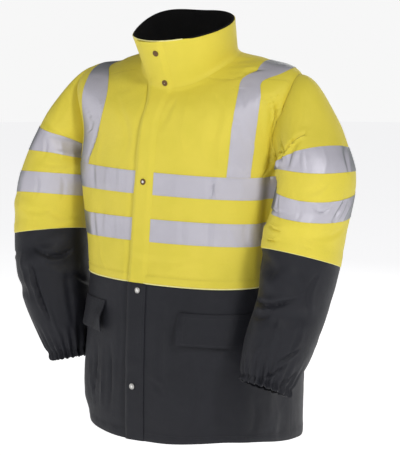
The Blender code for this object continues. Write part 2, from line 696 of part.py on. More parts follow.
def make_body_tape(grid, nominals, materials):
    """Two bands round the body and a strap over each shoulder."""
    around = [c % grid.columns for c in range(nominals.index(FLAP_EDGE),
                                              nominals.index(-FLAP_EDGE) + grid.columns)]
    for name, middle in (("upper", UPPER_BAND), ("lower", LOWER_BAND)):
        row = BODY_ROWS.index(middle - TAPE_WIDTH / 2)
        band = grid.points, grid.normals, grid.triangles([row], around)
        add_cloth(f"torso_band_{name}", band, materials["silver"], TAPE, SEAM_GAP + TAPE)

    low, high = BODY_ROWS.index(ARMHOLE_LOW), BODY_ROWS.index(ARMHOLE_HIGH)
    rows = range(BODY_ROWS.index(UPPER_BAND + TAPE_WIDTH / 2), len(BODY_ROWS) - 1)
    halves = (("left", 1, STRAP_LEFT, (0, 180), (ARMHOLE_FRONT, ARMHOLE_BACK)),
              ("right", -1, STRAP_RIGHT, (180, 0), (-ARMHOLE_BACK, -ARMHOLE_FRONT)))
    for label, side, table, (first, last), hole_edges in halves:
        edges = table_splines(STRAP_COLUMNS, table, "run")
        count = (nominals.index(last) - nominals.index(first)) % grid.columns
        columns = [(nominals.index(first) + i) % grid.columns for i in range(count)]
        hole = range(*(nominals.index(edge) for edge in hole_edges))
        corners = [corner for row in rows for column in columns for corner in grid.cell(row, column)
                   if not (low <= row < high and column in hole)]
        sheet = grid.points, grid.normals, corners
        for sign, name in ((1, "inner"), (-1, "outer")):
            x, y, z = sheet[0].T
            edge = edges[name](y * (1 + np.abs(z) / STRAP_CLIMB) / MM) * MM
            sheet = clip_sheet(*sheet, sign * (side * x - edge))
        add_cloth(f"strap_{label}", sheet, materials["silver"], TAPE, SEAM_GAP + TAPE)


def flap_grid(body_sheet, collar_sheet):
    """The body's and the collar's grids joined at the neck seam."""
    rows = np.concatenate([body_sheet.points, collar_sheet.points[collar_sheet.columns:]])
    normals = np.concatenate([body_sheet.normals, collar_sheet.normals[collar_sheet.columns:]])
    shape = (body_sheet.rows + collar_sheet.rows - 1, body_sheet.columns, 3)
    rows = rows.reshape(shape)
    normals = normals.reshape(shape)
    return Grid(rows, normals)


def make_flaps(body_sheet, front, nominals, materials):
    """The storm flap in two lengths, and a flap over each pocket."""
    closure = nominals.index(0)
    columns = [closure - 1, closure]
    stand = np.zeros((front.rows, front.columns))
    stand[:, closure - 1] = STORM_FLAP_STAND
    stand[:, closure] = STORM_FLAP_STAND / 2
    lift = SEAM_GAP + FLAP_CLOTH + stand.reshape(-1)
    waist = BODY_ROWS.index(WAIST)
    for name, rows, material in (("upper", range(waist, front.rows - 1), "yellow"),
                                 ("lower", range(waist), "dark")):
        flap = front.points, front.normals, front.triangles(rows, columns)
        add_cloth(f"storm_flap_{name}", flap, materials[material], FLAP_CLOTH, lift)

    bottom, top = BODY_ROWS.index(POCKET_FLAP_BOTTOM), BODY_ROWS.index(POCKET_FLAP_TOP)
    stand = np.zeros((body_sheet.rows, body_sheet.columns))
    stand[bottom] = POCKET_FLAP_STAND
    lift = SEAM_GAP + FLAP_CLOTH + stand.reshape(-1)
    for label, edges in (("left", (POCKET_FRONT, POCKET_BACK)),
                         ("right", (-POCKET_BACK, -POCKET_FRONT))):
        columns = range(nominals.index(edges[0]), nominals.index(edges[1]))
        flap = (body_sheet.points, body_sheet.normals,
                body_sheet.triangles(range(bottom, top), columns))
        add_cloth(f"pocket_flap_{label}", flap, materials["dark"], FLAP_CLOTH, lift)


def make_collar(grid, nominals, materials):
    """The collar's outer cloth and its lining, open at the closure line."""
    closure = nominals.index(0)
    columns = [c % grid.columns for c in range(closure, closure + grid.columns)]
    rows = range(grid.rows - 1)
    # The closure column is doubled, so that the two front ends stay apart.
    points = grid.points.reshape(grid.rows, grid.columns, 3)[:, columns + [closure]]
    normals = grid.normals.reshape(grid.rows, grid.columns, 3)[:, columns + [closure]]
    wrap = Grid(points, normals)
    sheet = wrap.points, wrap.normals, wrap.triangles(rows, range(grid.columns))
    add_cloth("collar_outer", sheet, materials["yellow"], CLOTH)
    lowered = points.copy()
    lowered[-1] += unit(points[-2] - points[-1]) * COLLAR_LINING_DROP
    lining = lowered.reshape(-1, 3), wrap.normals, sheet[2]
    add_cloth("collar_lining", lining, materials["fleece"], LINING, -(CLOTH + SEAM_GAP))


def make_snap(name, point, normal, material):
    """A press stud's cap: a turned ring with a low dome in its middle."""
    points = []
    for share, height in SNAP_PROFILE:
        for i in range(1 if share == 0 else SNAP_SEGMENTS):
            turn = 2 * math.pi * i / SNAP_SEGMENTS
            points.append((share * SNAP_RADIUS * math.cos(turn),
                           share * SNAP_RADIUS * math.sin(turn), height * SNAP_HEIGHT))
    rings = [[0]]
    first = 1
    for _ in SNAP_PROFILE[1:-1]:
        rings.append(list(range(first, first + SNAP_SEGMENTS)))
        first += SNAP_SEGMENTS
    rings.append([first])
    faces = []
    for lower, upper in zip(rings, rings[1:]):
        for i in range(SNAP_SEGMENTS):
            j = (i + 1) % SNAP_SEGMENTS
            if len(lower) == 1:
                faces.append((lower[0], upper[j], upper[i]))
            elif len(upper) == 1:
                faces.append((lower[i], lower[j], upper[0]))
            else:
                faces.append((lower[i], lower[j], upper[j]))
                faces.append((lower[i], upper[j], upper[i]))
    obj = add_object(name, points, faces, material)
    turn = Vector((0, 0, 1)).rotation_difference(Vector(normal)).to_matrix().to_4x4()
    obj.matrix_world = Matrix.Translation(Vector(point) + Vector(normal) * SNAP_LIFT) @ turn
    return obj


def make_snaps(body, collar, materials):
    """Five press studs down the storm flap, by height on the body or the collar."""
    placed = [(collar, *row) for row in COLLAR_SNAPS] + [(body, *row) for row in BODY_SNAPS]
    for number, (rings, up, aside, sunk) in enumerate(placed, 1):
        height = np.array(float(up))
        nominal = aside / SEWN * FLAP_EDGE
        angle = rings.angle(np.array(nominal), height)
        normal = rings.normal(rings.base, angle, height)
        stand = STORM_FLAP_STAND * (1 - nominal / FLAP_EDGE) / 2 - sunk * MM
        point = rings.point(angle, height) + normal * (SEAM_GAP + FLAP_CLOTH + stand)
        make_snap(f"snap_{number}", point, normal, materials["brass"])


def main():
    for obj in list(bpy.data.objects):
        bpy.data.objects.remove(obj, do_unlink=True)
    materials = {
        "yellow": make_material("yellow_cloth", YELLOW, 0.62),
        "dark": make_material("dark_cloth", DARK, 0.70),
        "silver": make_material("reflective_tape", SILVER, 0.45),
        "fleece": make_material("black_fleece", BLACK_FLEECE, 0.95),
        "brass": make_material("snap_metal", BRASS, 0.35, 1.0),
    }
    closure = table_splines(CLOSURE_COLUMNS, CLOSURE, "up")
    body = Rings(BODY_RINGS, closure, BODY_FOLDS, HEM_RISES, BODY_ROWS[0], HEM_REACH)
    neck_closure = {name: (lambda up, at_neck=spline(NECK): at_neck + 0 * up)
                    for name, spline in closure.items()}
    collar = Rings(COLLAR_RINGS, neck_closure, (), COLLAR_RISES, COLLAR_ROWS[-1], COLLAR_REACH)
    nominals = [-angle for angle in HALF_COLUMNS[-2:0:-1]] + list(HALF_COLUMNS)
    grid = body_grid(body, nominals)
    collar_sheet = collar_grid(collar, nominals)
    neck = range((grid.rows - 1) * grid.columns, grid.rows * grid.columns)
    share_normals(grid, neck, collar_sheet, range(grid.columns))
    for label, side, rows in (("left", 1, LEFT_ARM), ("right", -1, RIGHT_ARM)):
        arm = Arm(rows, side)
        loop = [grid.index(r, c) for r, c in armhole_loop(nominals, side)]
        sleeve = sleeve_grid(arm, grid.points[loop])
        last = range((sleeve.rows - 1) * sleeve.columns, sleeve.rows * sleeve.columns)
        share_normals(grid, loop, sleeve, last if side < 0 else last[::-1])
        make_sleeve(label, arm, sleeve, materials)
    make_body(body, grid, nominals, materials)
    make_body_tape(grid, nominals, materials)
    make_collar(collar_sheet, nominals, materials)
    make_flaps(grid, flap_grid(grid, collar_sheet), nominals, materials)
    make_snaps(body, collar, materials)


main()
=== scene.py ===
"""Looks of the hi-vis work jacket: every cloth piece as a thin shell with its creases, gathers,
seams and stitching, the press studs, the materials, and a plain pale studio.

Frame: metres, +Z up, -Y the front, +X the wearer's left; the origin is the middle of the neck
seam. The rings, folds, arms, closure and straps are the same as in the solids they stand for.
"""
import math
from collections import namedtuple

import bpy
import numpy as np
from mathutils import Matrix, Vector


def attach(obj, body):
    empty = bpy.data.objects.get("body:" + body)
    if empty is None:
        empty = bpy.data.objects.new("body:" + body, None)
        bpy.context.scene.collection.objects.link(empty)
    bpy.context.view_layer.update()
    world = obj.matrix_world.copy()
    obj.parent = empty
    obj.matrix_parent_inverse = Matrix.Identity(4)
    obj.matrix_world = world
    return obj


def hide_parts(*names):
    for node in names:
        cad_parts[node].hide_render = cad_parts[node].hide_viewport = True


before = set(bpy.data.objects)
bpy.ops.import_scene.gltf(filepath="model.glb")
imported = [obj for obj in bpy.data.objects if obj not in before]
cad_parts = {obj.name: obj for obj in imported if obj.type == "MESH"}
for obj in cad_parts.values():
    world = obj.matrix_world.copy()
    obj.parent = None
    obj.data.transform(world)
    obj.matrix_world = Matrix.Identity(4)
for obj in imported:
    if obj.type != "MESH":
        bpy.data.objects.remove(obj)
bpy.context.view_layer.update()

MM = 0.001

# In metres: how thick each kind of cloth is, how high the tape's face lies over the cloth, and
# how far each piece is drawn in at a seam.
CLOTH = 1.5 * MM
FLAP_CLOTH = 2.4 * MM
LINING = 2.4 * MM
TAPE = 0.7 * MM
TAPE_LIFT = 0.9 * MM
SEAM_GAP = 0.16 * MM

# Heights on the body, in millimetres up the cloth from the hem. The collar counts on from the
# neck.
POCKET_FLAP_BOTTOM = 203
POCKET_FLAP_TOP = 272
WAIST = 325
LOWER_BAND = 439
UPPER_BAND = 542
ARMHOLE_LOW = 582
ARMHOLE_HIGH = 715
NECK = 815
TAPE_WIDTH = 50
COLLAR_TOP = 100

# Places round the body, in nominal degrees from the closure line.
FLAP_EDGE = 6
POCKET_FRONT = 22
NECK_SEAM = 44
ARMHOLE_FRONT = 70
SHOULDER_SEAM = 78
POCKET_BACK = 78
SIDE_SEAM = 94
ARMHOLE_BACK = 118

# Straps over the shoulders: how far out their inner and outer edges lie, along a run that
# climbs the front (negative), crosses the ridge at 0 and goes down the back, all millimetres.
STRAP_COLUMNS = ("run", "inner", "outer")
STRAP_BACK = [(60, 176, 230), (150, 166, 212), (300, 163, 206), (900, 163, 206)]
STRAP_LEFT = [(-900, 163, 205), (-420, 163, 205), (-300, 166, 205), (-240, 170, 209),
              (-200, 171, 214), (-160, 169, 216), (-120, 165, 213), (-80, 164, 207),
              (-45, 177, 224), (-15, 179, 236), (10, 178, 240)] + STRAP_BACK
STRAP_RIGHT = [(-900, 200, 244), (-400, 196, 242), (-353, 184, 238), (-330, 175, 234),
               (-310, 165, 230), (-287, 158, 227), (-259, 153, 225), (-218, 152, 225),
               (-169, 157, 226), (-95, 175, 232), (-70, 184, 237), (-26, 203, 246),
               (10, 202, 248)] + STRAP_BACK
# The run stretches as a strap goes down from the neck's height, by its own length every this far.
STRAP_CLIMB = 90 * MM

# Distances down a sleeve from the armhole, in millimetres. Down to SLEEVE_BLEND the armhole's
# outline eases into the sleeve's own tube, at a pace set by BLEND_POWER.
SLEEVE_BLEND = 80
BLEND_POWER = 0.75
SLEEVE_BAND_UPPER = (102, 144)
SLEEVE_BAND_LOWER = (183, 231)
ELBOW_SEAM = 305
GATHER_START = 496
CUFF_ELASTIC = 566
CUFF_EDGE = 580
GATHERS = 21

# Where rows really lie down a sleeve, because the bands hang level while the arm reaches
# forward: (row, place at the outside, how much further at the front, and underneath).
SLEEVE_LINES = {
    1: [(0, 0, 0, 0), (102, 108, 4, 0), (144, 149, 12, -36), (183, 187, 22, -22),
        (231, 223, 22, -8), (305, 307, -3, 0), (400, 400, 0, 0), (580, 580, 0, 0)],
    -1: [(0, 0, 0, 0), (34, 34, 0, -6), (102, 97, 0, -50), (144, 144, 0, -30), (183, 183, 0, 0),
         (231, 222, 0, 14), (305, 308, 0, -6), (400, 400, 0, 0), (580, 580, 0, 0)],
}

# The body and collar are stacks of rings, in millimetres: half width, how square the ring is,
# the depth and height of its front, sides and back, its tilt to one side and its shift.
RING_COLUMNS = ("name", "up", "width", "square", "y_front", "y_side", "y_back",
                "z_front", "z_side", "z_back", "tilt", "shift")
BODY_RINGS = [
    ("hem",        0, 238, .050, -193,   8, 192, -788, -796, -822,   0,  4),
    ("skirt",    120, 239, .045, -187,   8, 189, -668, -676, -690,  -2,  3),
    ("hip",      225, 240, .040, -179,   6, 184, -566, -568, -572,  -2,  2),
    ("waist",    325, 241, .035, -167,   4, 178, -471, -466, -462,   0,  0),
    ("belly",    420, 244, .035, -154,   2, 170, -378, -380, -372,   3, -2),
    ("chest",    500, 247, .035, -146,   0, 162, -302, -302, -292,   0, -4),
    ("armpit",   570, 250, .030, -141,   0, 154, -236, -232, -222,  -5, -5),
    ("breast",   640, 256, .020, -136,   0, 144, -176, -146, -146,  -9, -6),
    ("shoulder", 710, 266, .010, -128,   0, 126, -126,  -38,  -54,  -6, -6),
    ("yoke",     765, 192, .000, -112,   0, 110,  -92,  -16,  -22,   0, -2),
    ("slope",    788, 152, .000, -102,   0, 102,  -80,   -4,   -7,  -4, -1),
    ("neck",     815, 104, .000,  -90,   0,  92,  -66,   -3,   10,  -4,  0),
]
COLLAR_RINGS = [
    ("seam",    0, 104, .000,  -90,   0,  92,  -66,  -3,   10,  -4,  0),
    ("middle", 50, 107, .000, -112, -14,  86,  -17,  31,   54,  -2,  0),
    ("top",   100, 111, .000, -134, -29,  76,   31,  64,   98,   0,  0),
]
# The closure line: how far it lies to the wearer's right of the middle, and how far from it the
# storm flap's free and sewn edges are.
CLOSURE_COLUMNS = ("up", "aside", "free", "sewn")
SEWN = 23.5
CLOSURE = [
    (0,   22, 23.5, SEWN),
    (325, 25, 23.5, SEWN),
    (500, 22, 23.5, SEWN),
    (640, 15, 21.5, SEWN),
    (710, 12, 19.0, SEWN),
    (765, 10, 25.0, SEWN),
    (815,  8, 46.0, SEWN),
]
# Stations down each sleeve: the centre, the reach outward and forward, the way the arm droops
# and swings forward in degrees, and how far the underside dips.
ARM_COLUMNS = ("name", "along", "x", "y", "z", "outward", "forward", "droop", "swing", "dip")
LEFT_ARM = [
    ("cap",       0, 254,   -5, -126,  95,  66,   2,  0,  0),
    ("head",     30, 281,   -8, -136,  97,  76,  18,  3,  0),
    ("upper",    60, 297,  -14, -160,  72,  86,  34,  6,  0),
    ("deltoid", 105, 314,  -28, -189,  65,  93,  72, 10, 20),
    ("band",    146, 327,  -40, -229,  75,  95,  82, 12,  8),
    ("biceps",  190, 327,  -54, -277,  78,  96,  90, 14,  0),
    ("elbow",   305, 318,  -84, -394,  78,  94,  95, 16,  0),
    ("crook",   395, 316, -108, -482,  67,  91,  95, 18,  0),
    ("forearm", 480, 302, -140, -565,  66,  83,  94, 21,  0),
    ("wrist",   580, 297, -186, -648,  49,  52,  97, 28,  0),
]
RIGHT_ARM = [
    ("cap",       0, 272,   -5, -117,  96,  66,   2,  0,  0),
    ("head",     30, 285,   -7, -128,  84,  74,  17,  3,  0),
    ("upper",    60, 303,  -12, -154,  67,  86,  34,  5,  0),
    ("deltoid", 105, 321,  -22, -192,  58,  93,  72,  7, 20),
    ("band",    146, 330,  -30, -232,  72,  95,  83,  8,  8),
    ("biceps",  190, 337,  -42, -278,  80,  96,  92,  8,  0),
    ("elbow",   305, 343,  -60, -402,  78,  95,  98,  8,  0),
    ("forearm", 480, 305,  -82, -578,  68,  84,  99,  7,  0),
    ("wrist",   580, 268,  -92, -686,  38,  50, 104,  6,  0),
]
# Broad folds of the body: (degrees from the front, low and high end, half angle, lean in degrees
# a metre, depth).
BODY_FOLDS = [
    (-44,  -60, 250, 12,   8,  7),
    (-64,  -40, 300, 10,   0, -5),
    (52,   -60, 220, 14,  -8,  6),
    (84,   -60, 300, 12,   0, -6),
    (128,  -60, 420, 13,   8,  6),
    (158,  -60, 330, 13,   0, -5),
    (-122, -60, 400, 13,  -8,  6),
    (-152, -60, 360, 13,   4, -5),
    (-40,  330, 560, 12,   0,  4),
    (146,  430, 620, 13,  16,  5),
    (-140, 420, 620, 13, -16,  5),
    (-64,  -48,  48, 34,   0, -26),
    (-62,  470, 690, 32,   0,  9),
    (-60,  370, 620, 30,   0,  5),
    (-66,  270, 370, 28,   0, -6),
    (-58,  620, 770, 28,   0,  8),
]
# Where the hem and the collar's rim rise or sag: (degrees from the front, half angle, rise).
HEM_RISES = [(-30, 36, -10), (0, 46, -17), (78, 34, -9), (112, 50, -24), (-76, 40, 12)]
HEM_REACH = 120
COLLAR_RISES = [(-122, 58, 13)]
COLLAR_REACH = 100
# Broad folds of the sleeves: (place and half length down the sleeve, degrees from the outside
# toward the front, half angle, slant, depth).
SLEEVE_FOLDS = [
    (78,  22,  128, 46, -20, -7),
    (112, 18,  150, 50, -16,  6),
    (250, 26,   70, 60,  14,  4),
    (330, 24,  120, 60, -22, -7),
    (372, 24,  100, 60, -18,  6),
    (430, 24,   60, 66,  20, -5),
    (300, 30,  -90, 60,   0,  5),
    (365, 26,  -80, 60,  14, -4),
    (90,  24, -130, 46,  16, -6),
]

# Creases, listed one by one: (angle and height where it starts, angle and height where it ends, bow,
# half width, depth, lip). Each is a trough (negative) or a ridge, bows aside in its middle and
# has a softer lip of the other sense beside it. Angles are degrees, on the body from the front
# and on a sleeve from the outside toward the front; heights are up the body or down the sleeve.
# Bow, half width and depth are millimetres, and lip is a share of the depth. A crease narrows
# to a share of its width at its ends, and its lip is a little wider than it is.
CREASE_END_WIDTH = 0.55
LIP_WIDTH = 1.1
BODY_MM_PER_DEGREE = 4.3
SLEEVE_MM_PER_DEGREE = 1.55
BODY_CREASES = [
    (56, 716, 64, 664, 3, 9, -5, 0.3), (50, 781, 84, 771, -3, 5, -3.6, 0.6),
    (78, 812, 98, 790, 0, 10, -5, 0.3), (15, 268, 14.5, 200, 0, 5, -5.0, 0.2),
    (70, 612, 68, 300, 0, 46, -14, 0), (-60, 350, -57, 96, 0, 44, -14, 0),
    (68, 705, 72, 556, -6, 12, -7, 0.2), (48, 792, 80, 762, 6, 12, -3.4, 0.4),
    (37, 764, 32, 588, -16, 16, -2.6, 0.5), (30, 762, 27, 594, -15, 12, 1.2, 0),
    (11, 775, 3, 669, -4, 11, -2.0, 0.5), (23, 789, 17, 602, -25, 14, 1.2, 0),
    (-36, 652, -46, 575, -1, 7, -3.2, 0.5), (-32, 652, -39, 567, -2, 6, 2.2, 0),
    (-32, 747, -17, 587, 41, 15, -1.6, 0.4), (38, 695, 55, 625, -4, 9, -2.6, 0.5),
    (44, 600, 54, 563, 1, 7, -2.2, 0.4), (53, 759, 44, 697, -2, 8, -1.6, 0.4),
    (-47, 681, -49, 631, 26, 5, -2.6, 0.6), (-41, 717, -36, 661, 23, 6, 1.6, 0),
    (63, 713, 74, 652, -9, 10, -4.2, 0.4), (54, 709, 61, 640, -5, 12, -2.0, 0.4),
    (30, 592, 32, 503, -2, 8, -4.2, 0.55), (-39, 578, -37, 514, -4, 12, -2.6, 0.4),
    (-28, 576, -27, 513, 2, 6, 2.2, 0), (-21, 577, -20, 514, -1, 9, -2.6, 0.4),
    (-14, 575, -13, 514, 0, 7, 2.0, 0), (9, 572, 9, 516, 2, 12, -1.2, 0.3),
    (47, 567, 46, 509, 8, 12, 1.4, 0), (-38, 474, -36, 403, -2, 12, -2.8, 0.4),
    (-28, 473, -27, 407, -1, 6, 2.4, 0), (-22, 473, -20, 406, -2, 7, -2.6, 0.4),
    (-15, 472, -14, 408, -2, 6, 1.8, 0), (16, 477, 18, 403, -4, 10, -2.0, 0.4),
    (29, 478, 30, 407, 2, 12, -3.0, 0.5), (36, 477, 36, 410, 3, 8, 2.2, 0),
    (40, 469, 48, 412, -2, 7, 2.2, 0), (53, 469, 55, 408, -9, 12, -2.2, 0.4),
    (-18, 389, 21, 379, -12, 16, -1.4, 0.4), (11, 364, 55, 369, 15, 14, 1.2, 0),
    (-33, 393, -23, 338, -10, 9, 1.8, 0), (-26, 177, -26, 42, 1, 6, 4.6, 0),
    (-32, 181, -34, 62, 6, 7, -5.0, 0.4), (-21, 185, -20, 40, 4, 8, -3.4, 0.3),
    (-16, 289, -15, 103, 7, 8, -1.6, 0.3), (-39, 144, -32, 31, -6, 6, 2.6, 0),
    (10, 295, 9, 101, -7, 16, -2.4, 0.4), (24, 190, 24, 28, 11, 15, -2.6, 0.4),
    (36, 198, 37, 28, -4, 12, 1.8, 0), (59, 101, 58, 14, 15, 16, -1.4, 0.3),
    (3, 121, 10, 91, 2, 7, -2.4, 0.4), (78, 80, 75, 11, 19, 16, 1.2, 0),
    (150, 760, 158, 600, 10, 14, -2.6, 0.5), (-150, 755, -160, 610, -8, 14, -2.4, 0.5),
    (172, 700, 176, 590, 4, 12, 1.4, 0), (128, 640, 140, 545, -10, 9, -3.0, 0.5),
    (-128, 650, -138, 550, 8, 8, -3.2, 0.5), (135, 572, 136, 514, 2, 7, -2.6, 0.4),
    (150, 572, 149, 516, 0, 8, 1.8, 0), (-140, 571, -141, 514, 2, 8, -2.6, 0.4),
    (-165, 572, -164, 516, 1, 10, -1.8, 0.4), (142, 474, 143, 404, 2, 8, -2.6, 0.4),
    (-135, 472, -134, 406, -2, 9, -2.6, 0.4), (178, 472, 177, 406, 2, 10, -1.8, 0.4),
    (152, 392, 198, 386, -8, 14, -1.6, 0.4), (118, 300, 122, 90, 8, 12, -3.2, 0.4),
    (-120, 290, -118, 80, -8, 12, -3.0, 0.4), (165, 280, 160, 60, 10, 15, -2.6, 0.4),
    (-165, 260, -158, 50, -9, 14, -2.4, 0.4), (142, 240, 140, 70, 4, 12, 2.0, 0),
    (96, 560, 98, 430, 6, 9, -3.0, 0.4), (-98, 555, -100, 420, -6, 9, -3.0, 0.4),
    (100, 300, 103, 120, 6, 10, -2.8, 0.4),
]
SLEEVE_CREASES = {
    1: [
        (37, 75, 65, 71, -1, 6, -1.8, 0.4), (146, 150, 138, 262, 0, 55, -13, 0),
        (126, 56, 112, 86, 0, 5, -9, 0.2), (154, 116, 146, 154, 0, 8, -9, 0.3),
        (108, 34, 128, 132, 4, 9, 5.5, 0), (100, 30, 112, 122, 4, 6, -7.5, 0.2),
        (51, 83, 116, 114, -12, 7, -7.0, 0.5), (66, 89, 99, 143, -11, 12, -5.0, 0.4),
        (68, 111, 71, 161, -6, 6, 2.2, 0), (-25, 104, 6, 153, -16, 10, -3.2, 0.3),
        (38, 110, 48, 161, 4, 10, 1.6, 0), (57, 211, 28, 202, -11, 5, -3.6, 0.5),
        (5, 187, 25, 232, 0, 6, -4.0, 0.5), (-19, 187, 6, 229, -7, 5, 3.2, 0),
        (84, 198, 72, 244, 11, 9, -1.8, 0.4), (109, 199, 96, 246, -7, 7, -2.6, 0.4),
        (37, 166, 67, 190, 5, 8, -2.0, 0.4), (121, 258, 89, 266, -3, 5, -4.2, 0.6),
        (121, 285, 92, 284, -4, 4, -3.2, 0.6), (126, 227, 93, 230, -4, 4, -2.6, 0.6),
        (-7, 231, 48, 267, 5, 9, -2.2, 0.4), (64, 272, 21, 282, -5, 8, 1.4, 0),
        (97, 361, 49, 353, 9, 26, 4.0, 0), (135, 407, 51, 387, -16, 10, -8.5, 0.3),
        (128, 432, 84, 422, -9, 14, -6.5, 0.2), (29, 333, 22, 415, -19, 11, -3.4, 0.4),
        (69, 432, 69, 498, 4, 14, 2.6, 0), (37, 431, 36, 491, 6, 10, -2.4, 0.4),
        (23, 481, 52, 518, 2, 6, -4.2, 0.5), (35, 519, 74, 559, 4, 6, -4.2, 0.5),
        (84, 492, 98, 550, -8, 9, 3.0, 0), (7, 527, 42, 561, 6, 5, -2.8, 0.4),
        (-60, 90, -110, 120, 8, 9, -3.0, 0.5), (-70, 160, -120, 175, 6, 8, -2.4, 0.4),
        (-50, 106, -52, 158, 3, 8, -2.4, 0.4), (-95, 104, -92, 152, -3, 7, -2.2, 0.4),
        (-60, 184, -58, 230, 3, 8, -2.6, 0.4), (-110, 186, -108, 230, 2, 9, 1.8, 0),
        (-40, 250, -90, 285, 8, 9, -2.6, 0.4), (-60, 330, -130, 350, 12, 10, -4.2, 0.5),
        (-50, 400, -100, 425, -8, 10, -3.0, 0.4), (-80, 470, -90, 545, 4, 9, -2.8, 0.4),
        (-30, 450, -38, 545, 3, 9, 2.0, 0), (165, 325, 205, 345, 8, 9, -4.0, 0.5),
        (165, 420, 212, 440, -6, 9, -3.0, 0.4),
    ],
    -1: [
        (105, 339, 171, 344, 21, 10, -7.5, 0.4), (101, 374, 113, 499, 4, 9, -7.0, 0.35),
        (119, 375, 180, 386, 18, 16, 3.0, 0), (117, 449, 123, 537, 3, 9, 3.0, 0),
        (154, 394, 156, 524, 1, 14, -2.4, 0.3), (81, 347, 84, 456, 2, 9, 2.0, 0),
        (78, 251, 138, 262, 12, 9, -2.4, 0.4), (123, 261, 180, 275, 15, 10, -1.8, 0.4),
        (53, 79, 136, 61, 3, 9, -2.8, 0.4), (94, 157, 161, 137, 16, 9, -2.2, 0.4),
        (85, 95, 102, 155, -16, 9, -2.6, 0.3), (115, 75, 131, 144, -17, 10, 1.8, 0),
        (100, 193, 104, 239, -8, 8, -2.2, 0.4), (139, 190, 147, 246, -5, 10, -1.6, 0.4),
        (47, 44, 90, 65, -9, 10, -2.0, 0.4), (86, 31, 127, 66, -5, 9, 1.6, 0),
        (-58, 86, -104, 118, -8, 9, -3.0, 0.5), (-72, 158, -118, 172, -6, 8, -2.4, 0.4),
        (-54, 102, -50, 150, 3, 8, -2.6, 0.4), (-92, 104, -96, 148, 3, 7, -2.0, 0.4),
        (-66, 188, -62, 228, -3, 9, -2.4, 0.4), (-114, 188, -110, 228, 2, 8, 1.8, 0),
        (-36, 246, -84, 280, -8, 9, -2.6, 0.4), (-62, 336, -126, 352, -12, 10, -4.0, 0.5),
        (-46, 404, -98, 430, 8, 10, -3.0, 0.4), (-84, 468, -88, 545, -4, 9, -2.8, 0.4),
        (-26, 452, -34, 540, -3, 9, 2.0, 0), (20, 330, 60, 352, 10, 10, -3.0, 0.4),
        (165, 400, 210, 424, 6, 9, -3.0, 0.4),
    ],
}

# A shallow groove in the cloth beside the storm flap's free edge, in degrees and millimetres.
GROOVE_ASIDE = -1.3
GROOVE_HALF_ANGLE = 2.3
GROOVE_DEPTH = -2.6
GROOVE_START = 60

# The grids: how far apart the rows of the body, collar and sleeves are, in millimetres, the
# nominal degrees of the body's main columns over one half, and into how many each step between
# them is split.
ROW_STEP = 4.6
COLLAR_STEP = 4
SLEEVE_STEP = 4.2
COLUMN_SPLIT = 6
HALF_COLUMNS = (0, FLAP_EDGE, 14, POCKET_FRONT, 31, 41, 51, 61, ARMHOLE_FRONT, SHOULDER_SEAM, 86,
                SIDE_SEAM, 102, 110, ARMHOLE_BACK, 127, 136, 145, 154, 163, 172, 180)
ARMHOLE_ROWS = 8 * COLUMN_SPLIT


def natural_cubic(knots, values):
    """A natural cubic spline through the values at the knots, as a function."""
    x = np.asarray(knots, float)
    y = np.asarray(values, float)
    step = np.diff(x)
    count = len(x)
    system = np.eye(count)
    right = np.zeros(count)
    for i in range(1, count - 1):
        system[i, i - 1:i + 2] = step[i - 1], 2 * (step[i - 1] + step[i]), step[i]
        right[i] = 6 * ((y[i + 1] - y[i]) / step[i] - (y[i] - y[i - 1]) / step[i - 1])
    bend = np.linalg.solve(system, right)

    def at(place):
        place = np.clip(np.asarray(place, float), x[0], x[-1])
        i = np.clip(np.searchsorted(x, place, side="right") - 1, 0, count - 2)
        after = place - x[i]
        before = x[i + 1] - place
        cubic = (bend[i] * before ** 3 + bend[i + 1] * after ** 3) / (6 * step[i])
        return (cubic + (y[i] / step[i] - bend[i] * step[i] / 6) * before
                + (y[i + 1] / step[i] - bend[i + 1] * step[i] / 6) * after)

    return at


def table_splines(columns, rows, along):
    """One spline for each numeric column of a table, against the column named along."""
    knots = [row[columns.index(along)] for row in rows]
    return {name: natural_cubic(knots, [row[i] for row in rows])
            for i, name in enumerate(columns) if name not in ("name", along)}


def unit(vectors):
    """Vectors made one long."""
    return vectors / np.maximum(np.linalg.norm(vectors, axis=-1, keepdims=True), 1e-12)


def smooth_step(value):
    """An eased step, 0 up to value 0 and 1 from value 1 on."""
    value = np.clip(value, 0, 1)
    return value * value * (3 - 2 * value)


def bump(distance):
    """A soft hump, 1 at distance 0 and 0 from 1 on."""
    return np.where(np.abs(distance) < 1, np.cos(np.clip(distance, -1, 1) * math.pi / 2) ** 2, 0)


def turned(angle, middle):
    """How many degrees an angle lies from the middle, from -180 to 180."""
    return (angle - middle + 180) % 360 - 180


class Noise:
    """Smooth random values from -1 to 1 over a lattice that repeats in x."""

    def __init__(self, seed, across, along):
        self.values = np.random.default_rng(seed).uniform(-1, 1, (along + 2, across))
        self.across, self.along = across, along

    def __call__(self, x, y):
        x = (np.asarray(x, float) % 1) * self.across
        y = np.clip(np.asarray(y, float), 0, 1) * self.along
        column, row = np.floor(x).astype(int), np.floor(y).astype(int)
        part_x, part_y = smooth_step(x - column), smooth_step(y - row)
        column %= self.across
        beside = (column + 1) % self.across
        low = self.values[row, column] * (1 - part_x) + self.values[row, beside] * part_x
        high = self.values[row + 1, column] * (1 - part_x) + self.values[row + 1, beside] * part_x
        return low * (1 - part_y) + high * part_y


